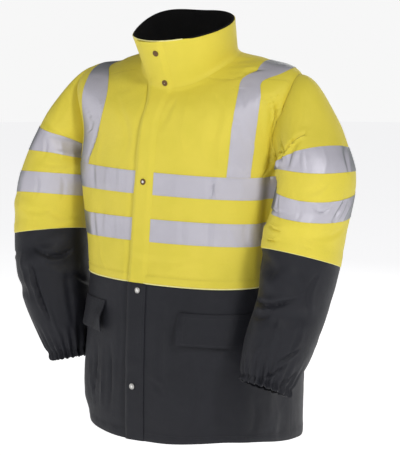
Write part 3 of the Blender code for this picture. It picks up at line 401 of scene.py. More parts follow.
def crease_relief(creases, degrees, along, mm_per_degree):
    """The height of all the creases at places given in degrees round and millimetres along."""
    across, wrap = degrees * mm_per_degree, 360 * mm_per_degree
    height = np.zeros(np.broadcast(across, along).shape)
    for start_turn, start_y, end_turn, end_y, bow, half_width, depth, lip in creases:
        start_x, end_x = start_turn * mm_per_degree, end_turn * mm_per_degree
        x = (across - (start_x + end_x) / 2 + wrap / 2) % wrap - wrap / 2
        y = along - (start_y + end_y) / 2
        run = np.array([end_x - start_x, end_y - start_y], float)
        length = float(np.hypot(*run))
        run /= length
        share = (x * run[0] + y * run[1]) / length + 0.5
        aside = x * -run[1] + y * run[0] - bow * 4 * share * (1 - share)
        taper = np.sqrt(np.clip(np.sin(np.clip(share, 0, 1) * math.pi), 0, 1))
        width = half_width * (CREASE_END_WIDTH + (1 - CREASE_END_WIDTH) * taper)
        height += depth * taper * bump(aside / width)
        height -= depth * lip * taper * bump((aside - width) / (width * LIP_WIDTH))
    return height


def ring_point(splines, angle, up):
    """Points in metres on a stack of rings, at angles in radians from the front."""
    size = {name: spline(up) for name, spline in splines.items()}
    square = size["square"]
    sine = (1 + square) * np.sin(angle) + square * np.sin(3 * angle)
    cosine = (1 + square) * np.cos(angle) - square * np.cos(3 * angle)

    def around(front, side, back):
        return side + (front - back) / 2 * cosine + ((front + back) / 2 - side) * cosine ** 2

    x = size["width"] * sine + size["shift"]
    y = around(size["y_front"], size["y_side"], size["y_back"])
    z = around(size["z_front"], size["z_side"], size["z_back"]) + size["tilt"] * sine
    return np.stack(np.broadcast_arrays(x, y, z), -1) * MM


class Rings:
    """A body of rings with its closure line, in nominal angles from that line."""

    def __init__(self, rows, closure, folds=(), rises=(), edge=0, reach=1, fine=None):
        self.splines = table_splines(RING_COLUMNS, rows, "up")
        self.top = rows[-1][1]
        self.closure = closure
        self.folds = folds
        self.rises = rises
        self.edge = edge
        self.reach = reach
        self.fine = fine

    def angle(self, nominal, up):
        """Turn nominal degrees from the closure line into radians from the front."""
        width = self.splines["width"](up) * MM * (1 + 4 * self.splines["square"](up))
        nominal = np.asarray(nominal, float)
        closure = {name: spline(up) * MM / width for name, spline in self.closure.items()}
        middle = -closure["aside"]
        half = np.where(nominal < 0, closure["free"], closure["sewn"])
        quarter = math.pi / 2
        size = np.abs(nominal)
        side = np.sign(nominal)
        edge = side * middle + half
        inner = size / FLAP_EDGE * half + side * middle
        outer = edge + (size - FLAP_EDGE) / (90 - FLAP_EDGE) * (quarter - edge)
        beyond = np.radians(size)
        found = np.where(size <= FLAP_EDGE, inner, np.where(size <= 90, outer, beyond))
        return np.where(size == 0, middle, side * found)

    def base(self, angle, up):
        """Points on the rings, with the edge's rises but no folds."""
        points = ring_point(self.splines, angle, up)
        near = np.clip(1 - np.abs(up - self.edge) / self.reach, 0, 1) ** 2
        for middle, half_angle, rise in self.rises:
            points[..., 2] += rise * MM * near * bump(turned(np.degrees(angle), middle) / half_angle)
        return points

    def relief(self, angle, up):
        """How far the folds and creases push the cloth out, in metres."""
        degrees = np.degrees(angle)
        push = np.zeros(np.broadcast(angle, up).shape)
        for fold_angle, low, high, half_angle, lean, depth in self.folds:
            middle = (low + high) / 2
            off = turned(degrees, fold_angle + lean * (up - middle) * MM)
            push = push + depth * bump(off / half_angle) * bump((up - middle) / (high - low) * 2)
        if self.fine:
            off = turned(degrees, np.degrees(self.angle(-FLAP_EDGE, up)))
            groove = bump((off - GROOVE_ASIDE) / GROOVE_HALF_ANGLE) * smooth_step(up / GROOVE_START)
            push = push + self.fine(degrees, up) + GROOVE_DEPTH * groove
        return push * MM

    def normal(self, surface, angle, up):
        """Outward normals of the base or the folded surface, from small steps along it."""
        turn = 0.01
        rise = 2.0
        up = np.clip(up, rise, self.top - rise)
        across = surface(angle + turn, up) - surface(angle - turn, up)
        upward = surface(angle, up + rise) - surface(angle, up - rise)
        return unit(np.cross(across, upward))

    def point(self, angle, up):
        lift = np.asarray(self.relief(angle, up))[..., None]
        return self.base(angle, up) + self.normal(self.base, angle, up) * lift


class Arm:
    """The tube of a sleeve, whose stations lie along a spline."""

    def __init__(self, rows, side, fine=None):
        self.splines = table_splines(ARM_COLUMNS, rows, "along")
        self.side = side
        self.fine = fine

    def centre(self, along):
        x, y, z = (self.splines[name](along) for name in ("x", "y", "z"))
        return np.stack(np.broadcast_arrays(self.side * x, y, z), -1) * MM

    def frame(self, along):
        """The directions down the sleeve, outward and forward."""
        droop = np.radians(self.splines["droop"](along))
        swing = np.radians(self.splines["swing"](along))
        down = unit(np.stack([self.side * np.cos(droop), -np.sin(swing), -np.sin(droop)], -1))
        level = np.stack([self.side * np.sin(droop), 0 * droop, np.cos(droop)], -1)
        outward = unit(level - np.sum(level * down, -1, keepdims=True) * down)
        return down, outward, np.cross(down, outward) * self.side

    def relief(self, angle, along):
        degrees = np.degrees(angle)
        push = np.zeros(np.broadcast(angle, along).shape)
        for place, half_along, fold_angle, half_angle, slant, depth in SLEEVE_FOLDS:
            off = turned(degrees, fold_angle)
            slid = along - place - slant * off / half_angle
            push = push + depth * bump(slid / half_along) * bump(off / half_angle)
        if self.fine:
            push = push + self.fine(degrees, along)
        return push

    def point(self, angle, along, extra=0):
        """Points at an angle round the sleeve, 0 outside and a quarter turn at the front."""
        down, outward, forward = self.frame(along)
        swell = self.relief(angle, along) + extra
        out = (self.splines["outward"](along) + swell) * np.cos(angle) * MM
        front = (self.splines["forward"](along) + swell) * np.sin(angle) * MM
        dip = self.splines["dip"](along) * ((1 - np.cos(angle)) / 2) ** 2 * MM
        return (self.centre(along) + outward * out[..., None] + forward * front[..., None]
                + down * dip[..., None])


# Small unevenness of the cloth: soft buckles all over, and puckers where it is sewn.
BODY_BUCKLES = ((Noise(11, 11, 9), 1.3), (Noise(12, 26, 20), 0.7), (Noise(13, 60, 44), 0.25))
ARM_BUCKLES = ((Noise(21, 5, 7), 1.3), (Noise(22, 9, 15), 0.9), (Noise(23, 20, 34), 0.3))
# The left sleeve's buckles are turned by this share of a round, and both sleeves' fade in.
LEFT_BUCKLES_SHIFT = 0.31
BUCKLES_START = 30
BODY_PUCKER = Noise(14, 96, 60)
ARM_PUCKER = Noise(24, 40, 60)
PUCKER_REACH = 11
PUCKER_HEIGHT = 0.55
PUCKER_SHIFT = 0.137
HEM_STITCH = 14
WAIST_STITCH = 18
BODY_SEWN = (HEM_STITCH, WAIST - 3, WAIST + WAIST_STITCH,
             LOWER_BAND - TAPE_WIDTH / 2, LOWER_BAND + TAPE_WIDTH / 2,
             UPPER_BAND - TAPE_WIDTH / 2, UPPER_BAND + TAPE_WIDTH / 2)
ARM_SEWN = (6, *SLEEVE_BAND_UPPER, *SLEEVE_BAND_LOWER, ELBOW_SEAM - WAIST_STITCH, ELBOW_SEAM + 3)


def puckers(noise, across, along, rows, total):
    """Little ripples that cross each sewn row and fade away from it."""
    height = 0
    for number, place in enumerate(rows):
        near = np.exp(-((along - place) / PUCKER_REACH) ** 2)
        height = height + near * noise(across + PUCKER_SHIFT * number, place / total)
    return height * PUCKER_HEIGHT


def body_fine(degrees, up):
    """The fine relief of the body, in millimetres: buckles, puckers and creases."""
    share = degrees / 360
    height = sum(size * noise(share, up / NECK) for noise, size in BODY_BUCKLES)
    height = height + puckers(BODY_PUCKER, share, up, BODY_SEWN, NECK)
    return height + crease_relief(BODY_CREASES, degrees, up, BODY_MM_PER_DEGREE)


def arm_fine(side):
    """The fine relief of one sleeve, as a function that gives millimetres."""
    shift = LEFT_BUCKLES_SHIFT if side > 0 else 0.0

    def fine(degrees, along):
        share = degrees / 360 + shift
        height = sum(size * noise(share, along / CUFF_EDGE) for noise, size in ARM_BUCKLES)
        height = height * smooth_step(along / BUCKLES_START)
        return height + crease_relief(SLEEVE_CREASES[side], degrees, along, SLEEVE_MM_PER_DEGREE)

    return fine


def grid_normals(points, closed):
    """Outward normals of a grid of points whose columns run round and rows run up."""
    if closed:
        across = np.roll(points, -1, axis=1) - np.roll(points, 1, axis=1)
    else:
        across = np.gradient(points, axis=1)
    return unit(np.cross(across, np.gradient(points, axis=0)))


Sheet = namedtuple("Sheet", "points normals")


class Grid:
    """Rows and columns of points on the garment, with normals, that four-cornered cells join."""

    def __init__(self, points, normals):
        self.rows, self.columns = points.shape[:2]
        self.points = points.reshape(-1, 3)
        self.normals = normals.reshape(-1, 3)

    def fields(self):
        """The points and the normals, each by row and column."""
        return (field.reshape(self.rows, self.columns, 3) for field in (self.points, self.normals))

    def cells(self, rows, columns):
        """The corners of each cell in the rows and columns, as an array of quads."""
        row, column = np.meshgrid(np.array(rows), np.array(columns), indexing="ij")
        beside = (column + 1) % self.columns
        low, high = row * self.columns, (row + 1) * self.columns
        quads = np.stack([low + column, low + beside, high + beside, high + column], -1)
        return quads.reshape(-1, 4)

    def all_cells(self):
        """Every cell of a grid that doesn't close round."""
        return self.cells(np.arange(self.rows - 1), np.arange(self.columns - 1))


def border_edges(faces):
    """The directed edges that only one face of a sheet has, and the faces that have them."""
    edges = np.concatenate([np.stack([faces[:, i], faces[:, (i + 1) % faces.shape[1]]], 1)
                            for i in range(faces.shape[1])])
    owner = np.tile(np.arange(len(faces)), faces.shape[1])
    key = edges.min(1) * (faces.max() + 1) + edges.max(1)
    _, first, count = np.unique(key, return_index=True, return_counts=True)
    lone = first[count == 1]
    return edges[lone], owner[lone]


def add_mesh(name, points, faces, material, smooth_angle=50):
    """Add an object made of several arrays of faces, without the points that none uses."""
    used, flat = np.unique(np.concatenate([np.ravel(part) for part in faces]), return_inverse=True)
    mesh = bpy.data.meshes.new(name)
    parts, start = [], 0
    for part in faces:
        size = np.asarray(part).size
        parts += flat[start:start + size].reshape(np.shape(part)).tolist()
        start += size
    mesh.from_pydata(np.asarray(points)[used].tolist(), [], parts)
    mesh.materials.append(material)
    mesh.shade_smooth()
    if smooth_angle:
        mesh.set_sharp_from_angle(angle=math.radians(smooth_angle))
    obj = bpy.data.objects.new(name, mesh)
    bpy.context.scene.collection.objects.link(obj)
    return obj


# Keeps the corners of a piece from being drawn in too far where its edges meet sharply.
CORNER_LIMIT = 0.35


def add_shell(name, sheet, faces, material, thickness, lift=0.0, dip=0.0, inset=SEAM_GAP):
    """A thin cloth shell on a sheet: its edges are drawn in a little and rolled under."""
    points, normals = sheet.points, sheet.normals
    edges, owner = border_edges(faces)
    corners = points[faces[owner]]
    face_normal = unit(np.cross(corners[:, 1] - corners[:, 0], corners[:, 2] - corners[:, 0]))
    inward = unit(np.cross(face_normal, points[edges[:, 1]] - points[edges[:, 0]]))
    push = np.zeros_like(points)
    count = np.zeros(len(points))
    for end in (0, 1):
        np.add.at(push, edges[:, end], inward)
        np.add.at(count, edges[:, end], 1)
    rim = count > 0
    outer = points + normals * np.broadcast_to(lift, len(points))[:, None]
    mean = push[rim] / count[rim, None]
    shrink = np.maximum(np.sum(mean * mean, -1, keepdims=True), CORNER_LIMIT)
    outer[rim] += mean / shrink * inset - normals[rim] * dip
    inner = outer - normals * np.broadcast_to(thickness, len(points))[:, None]
    offset = len(points)
    back = faces[:, ::-1] + offset
    wall = np.stack([edges[:, 1], edges[:, 0], edges[:, 0] + offset, edges[:, 1] + offset], 1)
    return add_mesh(name, np.concatenate([outer, inner]), [faces, back, wall], material)


def armhole_warp(nominal, up):
    """Round the block of grid cells at each armhole into an oval."""
    middle = (ARMHOLE_FRONT + ARMHOLE_BACK) / 2
    half = (ARMHOLE_BACK - ARMHOLE_FRONT) / 2
    centre = (ARMHOLE_LOW + ARMHOLE_HIGH) / 2
    reach = (ARMHOLE_HIGH - ARMHOLE_LOW) / 2
    across = (np.abs(nominal) - middle) / half
    upward = (up - centre) / reach
    size = np.maximum(np.abs(across), np.abs(upward))
    round_size = np.maximum(np.hypot(across, upward), 1e-9)
    strength = smooth_step(2 - size) * (up > UPPER_BAND + TAPE_WIDTH / 2)
    scale = 1 + (size / round_size - 1) * strength
    new_nominal = np.sign(nominal) * (middle + across * scale * half)
    return np.where(strength > 0, new_nominal, nominal), centre + upward * scale * reach


def shoulder_warp(nominal, up):
    """Carry the shoulder seam forward as it climbs from the armhole to the neck."""
    climb = np.clip((up - ARMHOLE_HIGH) / (NECK - ARMHOLE_HIGH), 0, 1)
    seam = SHOULDER_SEAM + (NECK_SEAM - SHOULDER_SEAM) * climb
    size = np.abs(nominal)
    front = FLAP_EDGE + (size - FLAP_EDGE) * (seam - FLAP_EDGE) / (SHOULDER_SEAM - FLAP_EDGE)
    back = 180 - (180 - size) * (180 - seam) / (180 - SHOULDER_SEAM)
    moved = np.where(size < SHOULDER_SEAM, front, back)
    return np.where(size <= FLAP_EDGE, nominal, np.sign(nominal) * moved)


def split(keys, count):
    """Divide every step of a series evenly into count."""
    keys = np.asarray(keys, float)
    parts = [np.linspace(a, b, count, endpoint=False) for a, b in zip(keys, keys[1:])]
    return np.append(np.concatenate(parts), keys[-1])


def split_by_step(keys, step, near=(), beside=2.0):
    """Divide a series into steps of about the given size, with a row close to each seam."""
    keys = sorted({float(k) for k in keys} | {float(s + d) for s in near for d in (-beside, beside)
                                              if keys[0] < s + d < keys[-1]})
    parts = [np.linspace(a, b, max(1, round((b - a) / step)), endpoint=False)
             for a, b in zip(keys, keys[1:])]
    return np.append(np.concatenate(parts), keys[-1])


HALF_FINE = split(HALF_COLUMNS, COLUMN_SPLIT)
NOMINALS = np.concatenate([-HALF_FINE[-2:0:-1], HALF_FINE])
BODY_ROWS = np.concatenate([
    split_by_step((0, POCKET_FLAP_BOTTOM, POCKET_FLAP_TOP, WAIST, LOWER_BAND - TAPE_WIDTH / 2,
                   LOWER_BAND + TAPE_WIDTH / 2, UPPER_BAND - TAPE_WIDTH / 2,
                   UPPER_BAND + TAPE_WIDTH / 2, ARMHOLE_LOW), ROW_STEP, (0, WAIST))[:-1],
    np.linspace(ARMHOLE_LOW, ARMHOLE_HIGH, ARMHOLE_ROWS + 1)[:-1],
    split_by_step((ARMHOLE_HIGH, NECK), ROW_STEP)])
COLLAR_ROWS = split_by_step((0, COLLAR_TOP), COLLAR_STEP)
SLEEVE_ROWS = split_by_step((0, 34, SLEEVE_BLEND, *SLEEVE_BAND_UPPER, *SLEEVE_BAND_LOWER, ELBOW_SEAM,
                             GATHER_START, CUFF_ELASTIC, CUFF_EDGE), SLEEVE_STEP,
                            (0, ELBOW_SEAM))


def column(nominal):
    """The body's grid column nearest to a nominal angle."""
    return int(np.argmin(np.abs(NOMINALS - nominal)))


def row(rows, value):
    """The number of the row nearest to a height or distance."""
    return int(np.argmin(np.abs(rows - value)))


def body_place(body, nominal, up):
    """The true angle and height of a place on the body's grid."""
    nominal, up = armhole_warp(nominal, up)
    return body.angle(shoulder_warp(nominal, up), up), up


def columns_between(start, end):
    """Grid columns from one nominal angle on to another, past the back if need be."""
    first, last = column(start), column(end)
    count = (last - first) % len(NOMINALS)
    return (first + np.arange(count)) % len(NOMINALS)


def columns_with_end(start, end):
    """The grid columns between two nominal angles and the one that closes them off."""
    columns = columns_between(start, end)
    return np.append(columns, (columns[-1] + 1) % len(NOMINALS))


def rows_between(rows, start, end):
    return np.arange(row(rows, start), row(rows, end))


def armhole_loop(side):
    """The body grid's (row, column) pairs round one armhole, from its top toward the front."""
    first, last = column(side * ARMHOLE_FRONT), column(side * ARMHOLE_BACK)
    step = 1 if last > first else -1
    top, bottom = row(BODY_ROWS, ARMHOLE_HIGH), row(BODY_ROWS, ARMHOLE_LOW)
    middle = column(side * SIDE_SEAM)
    loop = [(top, c) for c in range(middle, first, -step)]
    loop += [(r, first) for r in range(top, bottom, -1)]
    loop += [(bottom, c) for c in range(first, last, step)]
    loop += [(r, last) for r in range(bottom, top)]
    loop += [(top, c) for c in range(last, middle, -step)]
    return loop


# The cuff's gathers: how deep they are at the elastic and how much deeper at the edge, how the
# elastic draws the cloth in and over what length, how the edge flares, and how far the edge
# draws up between gathers. Noise makes their widths, depths and starts uneven.
GATHER_NOISE = Noise(31, GATHERS, 3)
GATHER_WIDTH_NOISE = Noise(32, 9, 3)
GATHER_DEPTH, GATHER_DEEPER = 3.6, 1.6
GATHER_WIDTH_SPREAD, GATHER_DEPTH_SPREAD, GATHER_START_SPREAD = 0.012, 0.45, 26
PINCH, PINCH_UP, PINCH_REACH = 2.6, 3, 9
FLARE = 2.0
RUFFLE, RUFFLE_SPREAD, RUFFLE_PHASE = 3.6, 2.2, 0.7


def sleeve_lines(side, rows, angle):
    """How far down a sleeve its rows lie at each angle."""
    table = np.array(SLEEVE_LINES[side], float)
    base, front, under = (np.interp(rows, table[:, 0], table[:, i]) for i in (1, 2, 3))
    return base + front * np.sin(angle) + under * ((1 - np.cos(angle)) / 2) ** 2


def gather_turn(share):
    """The phase of the gathers at a share of the way round, uneven in width."""
    uneven = share + GATHER_WIDTH_SPREAD * GATHER_WIDTH_NOISE(share, 0.5)
    return uneven * GATHERS * 2 * math.pi


def past_elastic(along):
    """How far a place lies on from the elastic toward the cuff's edge, from 0 to 1."""
    return smooth_step((along - CUFF_ELASTIC) / (CUFF_EDGE - CUFF_ELASTIC))


def gathers(share, along):
    """The height of the cuff's gathers, uneven in width and depth, deepest at the elastic."""
    depth = 0.8 + GATHER_DEPTH_SPREAD * GATHER_NOISE(share, 0.5)
    start = GATHER_START + GATHER_START_SPREAD * GATHER_NOISE(share + 0.21, 0.9)
    rise = smooth_step((along - start) / (CUFF_ELASTIC - start))
    pinch = bump((along - CUFF_ELASTIC + PINCH_UP) / PINCH_REACH)
    edge = past_elastic(along)
    wave = np.cos(gather_turn(share)) * depth * rise
    return wave * (GATHER_DEPTH + GATHER_DEEPER * edge) - PINCH * pinch + FLARE * edge


def ruffle(share, along):
    """How far the cuff's edge draws up between its gathers."""
    wave = 0.5 + 0.5 * np.cos(gather_turn(share) + RUFFLE_PHASE)
    return -(RUFFLE + RUFFLE_SPREAD * GATHER_NOISE(share, 0.2)) * wave * past_elastic(along)


def sleeve_surface(arm, loop_points, rows, shift):
    """Points of a sleeve from its armhole loop down, with the loop eased into the tube.

    shift turns the pattern of gathers by a share of a round.
    """
    count = len(loop_points)
    _, outward, forward = arm.frame(np.array(0.0))
    spokes = loop_points - arm.centre(np.array(0.0))
    loop_angle = np.unwrap(np.arctan2(spokes @ forward, spokes @ outward))
    even_angle = np.arange(count) * 2 * math.pi / count
    rows = np.asarray(rows, float)[:, None]
    along = sleeve_lines(arm.side, rows, even_angle)
    ease = smooth_step(along / SLEEVE_BLEND)
    angle = loop_angle + (even_angle - loop_angle) * ease
    share = angle / (2 * math.pi)
    swell = gathers(share + shift, along) + puckers(ARM_PUCKER, share, rows, ARM_SEWN, CUFF_EDGE)
    tube = arm.point(angle, along + ruffle(share + shift, along), swell)
    return loop_points + (tube - loop_points) * ease[..., None] ** BLEND_POWER


class Graph:
    """The node tree of a material or world, with short ways to add and join nodes."""

    def __init__(self, owner, main):
        owner.use_nodes = True
        self.nodes, self.links = owner.node_tree.nodes, owner.node_tree.links
        self.main = self.nodes[main]

    def set(self, node, **inputs):
        """Set a node's inputs by name; what comes out of another node is linked."""
        for name, value in inputs.items():
            socket = node.inputs[name.replace("_", " ")]
            if isinstance(value, bpy.types.NodeSocket):
                self.links.new(value, socket)
            else:
                socket.default_value = value

    def add(self, kind, out, settings=None, **inputs):
        """Add a node and return one of its outputs."""
        node = self.nodes.new("ShaderNode" + kind)
        for name, value in (settings or {}).items():
            setattr(node, name, value)
        self.set(node, **inputs)
        return node.outputs[out]

    def ramp(self, factor, *stops):
        """A colour that runs between two stops, each a position and a colour."""
        colour = self.add("ValToRGB", "Color", Fac=factor)
        for element, (position, stop) in zip(colour.node.color_ramp.elements, stops):
            element.position = position
            element.color = (*stop, 1)
        return colour

    def around(self, factor, middle, reach):
        """A number that varies with the factor, at most the reach from its middle."""
        return self.add("MapRange", "Result", Value=factor, To_Min=middle - reach,
                        To_Max=middle + reach)

    def mix(self, factor, first, second, blend="MIX"):
        """One colour mixed into another."""
        return self.add("Mix", "Result", {"data_type": "RGBA", "blend_type": blend},
                        A=first, B=(*second, 1), Factor=factor)


THREAD_SHADE = (0.86, 0.86, 0.86)
# Layer Weight facing values over which the tape's painted glancing shade fades in.
GLANCING_START, GLANCING_END = 0.40, 0.90
WEAVE_DEPTH = 0.3 * MM
CRINKLE_DEPTH = 4 * MM
GRAIN_DEPTH = 0.5 * MM


def cloth_material(name, colour, shade, roughness, weave, weave_strength, crinkle=0.25,
                   sheen=0.0, metallic=0.0, specular=0.5, glancing_shade=None):
    """Woven cloth: two crossed waves of thread, soft crinkles, and uneven colour and gloss.

    The glancing colour is painted shade, mixed in where the cloth turns away from the view: tape
    that throws light straight back looks darker there.
    """
    material = bpy.data.materials.new(name)
    graph = Graph(material, "Principled BSDF")
    place = graph.add("TexCoord", "Object")

    def noise(scale, detail=2.0):
        return graph.add("TexNoise", "Fac", Vector=place, Scale=scale, Detail=detail,
                         Roughness=0.55)

    threads = [graph.add("TexWave", "Fac", {"bands_direction": direction}, Vector=place,
                         Scale=weave, Distortion=0.6, Detail=1.0, Phase_Offset=offset)
               for direction, offset in (("Z", 0.0), ("DIAGONAL", 0.6))]
    cross = graph.add("Math", "Value", {"operation": "MULTIPLY"})
    for socket, thread in zip(cross.node.inputs, threads):
        graph.links.new(thread, socket)
    base = graph.ramp(noise(14.0, 3.0), (0.25, shade), (0.75, colour))
    base = graph.mix(cross, base, THREAD_SHADE, "MULTIPLY")
    # Painted shade: the tape's colour is mixed toward a dark grey where it turns away from the view.
    if glancing_shade:
        weight = graph.add("LayerWeight", "Facing")
        glancing_shade_share = graph.add("MapRange", "Result", {"interpolation_type": "SMOOTHSTEP"},
                                Value=weight, From_Min=GLANCING_START, From_Max=GLANCING_END)
        base = graph.mix(glancing_shade_share, base, glancing_shade)
    woven = graph.add("Bump", "Normal", Strength=weave_strength, Distance=WEAVE_DEPTH,
                      Height=cross)
    crinkled = graph.add("Bump", "Normal", Strength=crinkle, Distance=CRINKLE_DEPTH,
                         Height=noise(38.0, 4.0), Normal=woven)
    graph.set(graph.main, Base_Color=base, Roughness=graph.around(noise(55.0), roughness, 0.07),
              Metallic=metallic, Sheen_Weight=sheen, Sheen_Roughness=0.5,
              Specular_IOR_Level=specular, Normal=crinkled)
    return material


def plain_material(name, colour, roughness, metallic=0.0, grain=0.0, scale=300.0, shade=0.75):
    """A plain surface, whose colour, gloss and grain vary a little over one noise."""
    material = bpy.data.materials.new(name)
    graph = Graph(material, "Principled BSDF")
    noise = graph.add("TexNoise", "Fac", Vector=graph.add("TexCoord", "Object"), Scale=scale,
                      Detail=3.0)
    graph.set(graph.main, Metallic=metallic,
              Base_Color=graph.ramp(noise, (0, [shade * c for c in colour]), (1, colour)),
              Roughness=graph.around(noise, roughness, 0.06),
              Normal=graph.add("Bump", "Normal", Strength=grain, Distance=GRAIN_DEPTH,
                               Height=noise))
    return material


# Plain materials: name, colour, roughness, metallic and grain, and the floor's noise scale and
# darkest shade.
PLAIN = {
    # The rolled edges' pale yellow, much lighter than the cloth, is a painted highlight.
    "yellow_edge_highlight": ("yellow_edge_highlight", (0.93, 0.87, 0.36), 0.55, 0.0, 0.1),
    "yellow_thread": ("yellow_thread", (0.62, 0.54, 0.07), 0.6, 0.0, 0.4),
    "dark_thread": ("dark_thread", (0.020, 0.020, 0.024), 0.55, 0.0, 0.4),
    "silver_thread": ("silver_thread", (0.42, 0.42, 0.45), 0.5, 0.0, 0.4),
    "bronze": ("snap_bronze", (0.17, 0.095, 0.042), 0.42, 0.7, 0.2),
    "nickel": ("snap_nickel", (0.50, 0.49, 0.47), 0.34, 0.7, 0.15),
    # The studs' near-white centre is a painted highlight on the dome.
    "snap_highlight": ("snap_centre_highlight", (0.95, 0.93, 0.90), 0.30, 0.3, 0.05),
    "floor": ("pale_floor", (0.92, 0.92, 0.92), 0.9, 0.0, 0.0, 6.0, 0.99),
}


def make_materials():
    """Every material by a short key. Cloths have a colour, its shade, roughness and weave."""
    made = {key: plain_material(*values) for key, values in PLAIN.items()}
    made["yellow"] = cloth_material("yellow_cloth", (0.74, 0.615, 0.066), (0.68, 0.575, 0.052),
                                    0.58, 420, 0.25, sheen=0.05, specular=0.3)
    made["dark"] = cloth_material("dark_cloth", (0.0150, 0.0155, 0.0205),
                                  (0.0118, 0.0123, 0.0165), 0.55, 420, 0.3, sheen=0.02,
                                  specular=0.22)
    # The tape's glancing colour is painted shade where it turns away from the view.
    made["silver"] = cloth_material("reflective_tape", (0.53, 0.515, 0.575),
                                    (0.48, 0.465, 0.525), 0.42, 700, 0.2, crinkle=0.15,
                                    metallic=0.18, glancing_shade=(0.13, 0.145, 0.15))
    made["fleece"] = cloth_material("black_fleece", (0.0065, 0.0065, 0.0070),
                                    (0.003, 0.003, 0.003), 0.92, 260, 0.8, crinkle=0.7,
                                    sheen=0.03, specular=0.1)
    return made


# A stitch is a low pyramid with a long base, whose ends sink into the cloth.
STITCH_PITCH = 3.6 * MM
STITCH_LENGTH = 2.7 * MM
STITCH_RADIUS = 0.42 * MM
STITCH_HEIGHT = 1.1 * STITCH_RADIUS
STITCH_SUNK = 0.15 * MM
STITCH_CORNERS = 5


def stitch_mesh(paths):
    """Vertices and faces of small raised stitches along paths of points and normals."""
    vertices, faces, base = [], [], 0
    for points, normals in paths:
        steps = np.linalg.norm(np.diff(points, axis=0), axis=1)
        run = np.concatenate([[0], np.cumsum(steps)])
        starts = np.arange(STITCH_PITCH, run[-1] - STITCH_PITCH, STITCH_PITCH)
        if not len(starts):
            continue

        def at(place, values):
            return np.stack([np.interp(place, run, values[:, i]) for i in range(3)], -1)

        ends = [at(starts, points), at(starts + STITCH_LENGTH, points)]
        up = unit(at(starts + STITCH_LENGTH / 2, normals))
        side = unit(np.cross(up, ends[1] - ends[0]))
        middle = (ends[0] + ends[1]) / 2
        shape = [ends[0] - up * STITCH_SUNK, middle + side * STITCH_RADIUS,
                 ends[1] - up * STITCH_SUNK, middle - side * STITCH_RADIUS,
                 middle + up * STITCH_HEIGHT]
        vertices.append(np.stack(shape, 1).reshape(-1, 3))
        corner = base + np.arange(len(starts))[:, None] * STITCH_CORNERS
        for a, b in ((0, 3), (3, 2), (2, 1), (1, 0)):
            faces.append(np.concatenate([corner + a, corner + b, corner + 4], 1))
        base += len(starts) * STITCH_CORNERS
    return np.concatenate(vertices), np.concatenate(faces)


# How many rows either side of the neck seam are evened out, and how many times.
NECK_FILLET = 8
NECK_SMOOTHING = 14

# How far each piece's cut edge is rolled under, and how far the lining lies from the collar's
# outer cloth, in metres.
BODY_DIP = 0.5 * MM
SLEEVE_DIP = 0.6 * MM
LINING_DIP = 0.6 * MM
LINING_GAP = 0.3 * MM
STORM_FLAP_DIP = 0.2 * MM
POCKET_FLAP_DIP = 0.7 * MM

# How far a turned edge stands off where its cloth is double, in millimetres.
HEM_DOUBLE = 0.7
WAIST_DOUBLE = 1.3
ELBOW_DOUBLE = 1.2

# Stitching and thin rolled edges: how far a line runs from the edge of the tape, how many
# points follow it, the rolls' radius, and in millimetres how far a roll lies from its seam and
# the stitching from the armhole.
TAPE_STITCH = 3
RING_POINTS = 1200
BAND_POINTS = 500
SIDE_POINTS = 160
SHOULDER_POINTS = 60
ROLL_RADIUS = 1.5 * MM
COLLAR_ROLL_RADIUS = 1.3 * MM
ROLL_PLACE = 0.6
ARMHOLE_STITCH = 5

# The side and shoulder seams' stitching: between which heights it runs, how far from the waist
# it stops, how far from the seam it lies in nominal degrees, and how far over the cloth.
SIDE_STITCHED = (8, ARMHOLE_LOW - 6)
SHOULDER_STITCHED = (ARMHOLE_HIGH + 3, NECK - 26)
WAIST_CLEAR = 4
SIDE_ASIDE = 1.2
SHOULDER_ASIDE = 1.5
SEAM_LIFT = 0.1 * MM

# Nominal degrees where strap stitching passes from the front of a row to its back, and ends.
STRAP_RIDGE = 84
STRAP_END = 179
STRAP_LEAST_POINTS = 8

# On the collar, nominal degrees: the front, where the outer cloth ends in a rolled edge, and how
# gradually the lining rises over it behind that. In millimetres: how much shorter the outer
# cloth is there, how far the roll lies over the rim, and the height of the rim's stitching.
COLLAR_FRONT = 52
COLLAR_EASE = 22
OUTER_SHORTER = 2.2
COLLAR_ROLL_DROP = 0.4
COLLAR_STITCH = 94

SIDES = (("left", 1), ("right", -1))
SLOTS = {"yellow": "yellow_cloth", "dark": "dark_cloth", "silver": "reflective_tape",
         "fleece": "black_fleece"}


def doubled(place, stitching, height):
    """How far, in metres, a turned edge stands off up to its stitching and just past it."""
    return height * smooth_step((stitching + 3 - place) / 5) * MM


# The storm flap, in millimetres and shares of its width from the free edge: how far it lies off
# the body, how far and how unevenly the free edge stands off, how its rim curls back, from
# where it sinks into the sewn edge on the yellow and by what share, and how the dark length's
# sewn edge rolls down.
FLAP_SEAM_LIFT = 0.4
FLAP_STAND, FLAP_STAND_POWER = 3.9, 1.4
FLAP_WAVE, FLAP_STAND_NOISE = 1.2, Noise(41, 8, 30)
FLAP_CURL, FLAP_CURL_SHARE = 2.4, 0.17
FLAP_MERGE, FLAP_THINNED = 0.72, 0.86
FLAP_ROLL, FLAP_ROLL_SHARE = 0.9, 0.12

# The pocket flaps, in millimetres and shares: how far they lie off the body and stand off at
# the bottom; how much more the front edge does on each side and over what share of its height,
# round which place down it, and how far along; and how uneven they are.
POCKET_SEAM_LIFT = 0.6
POCKET_STAND, POCKET_STAND_POWER = 8.6, 1.3
POCKET_FRONT_STAND = {-1: (10.0, 0.62), 1: (8.5, 0.95)}
POCKET_FRONT_MIDDLE, POCKET_FRONT_SHARE = 0.6, 0.17
POCKET_WAVE, POCKET_NOISE = 0.5, Noise(42, 9, 4)


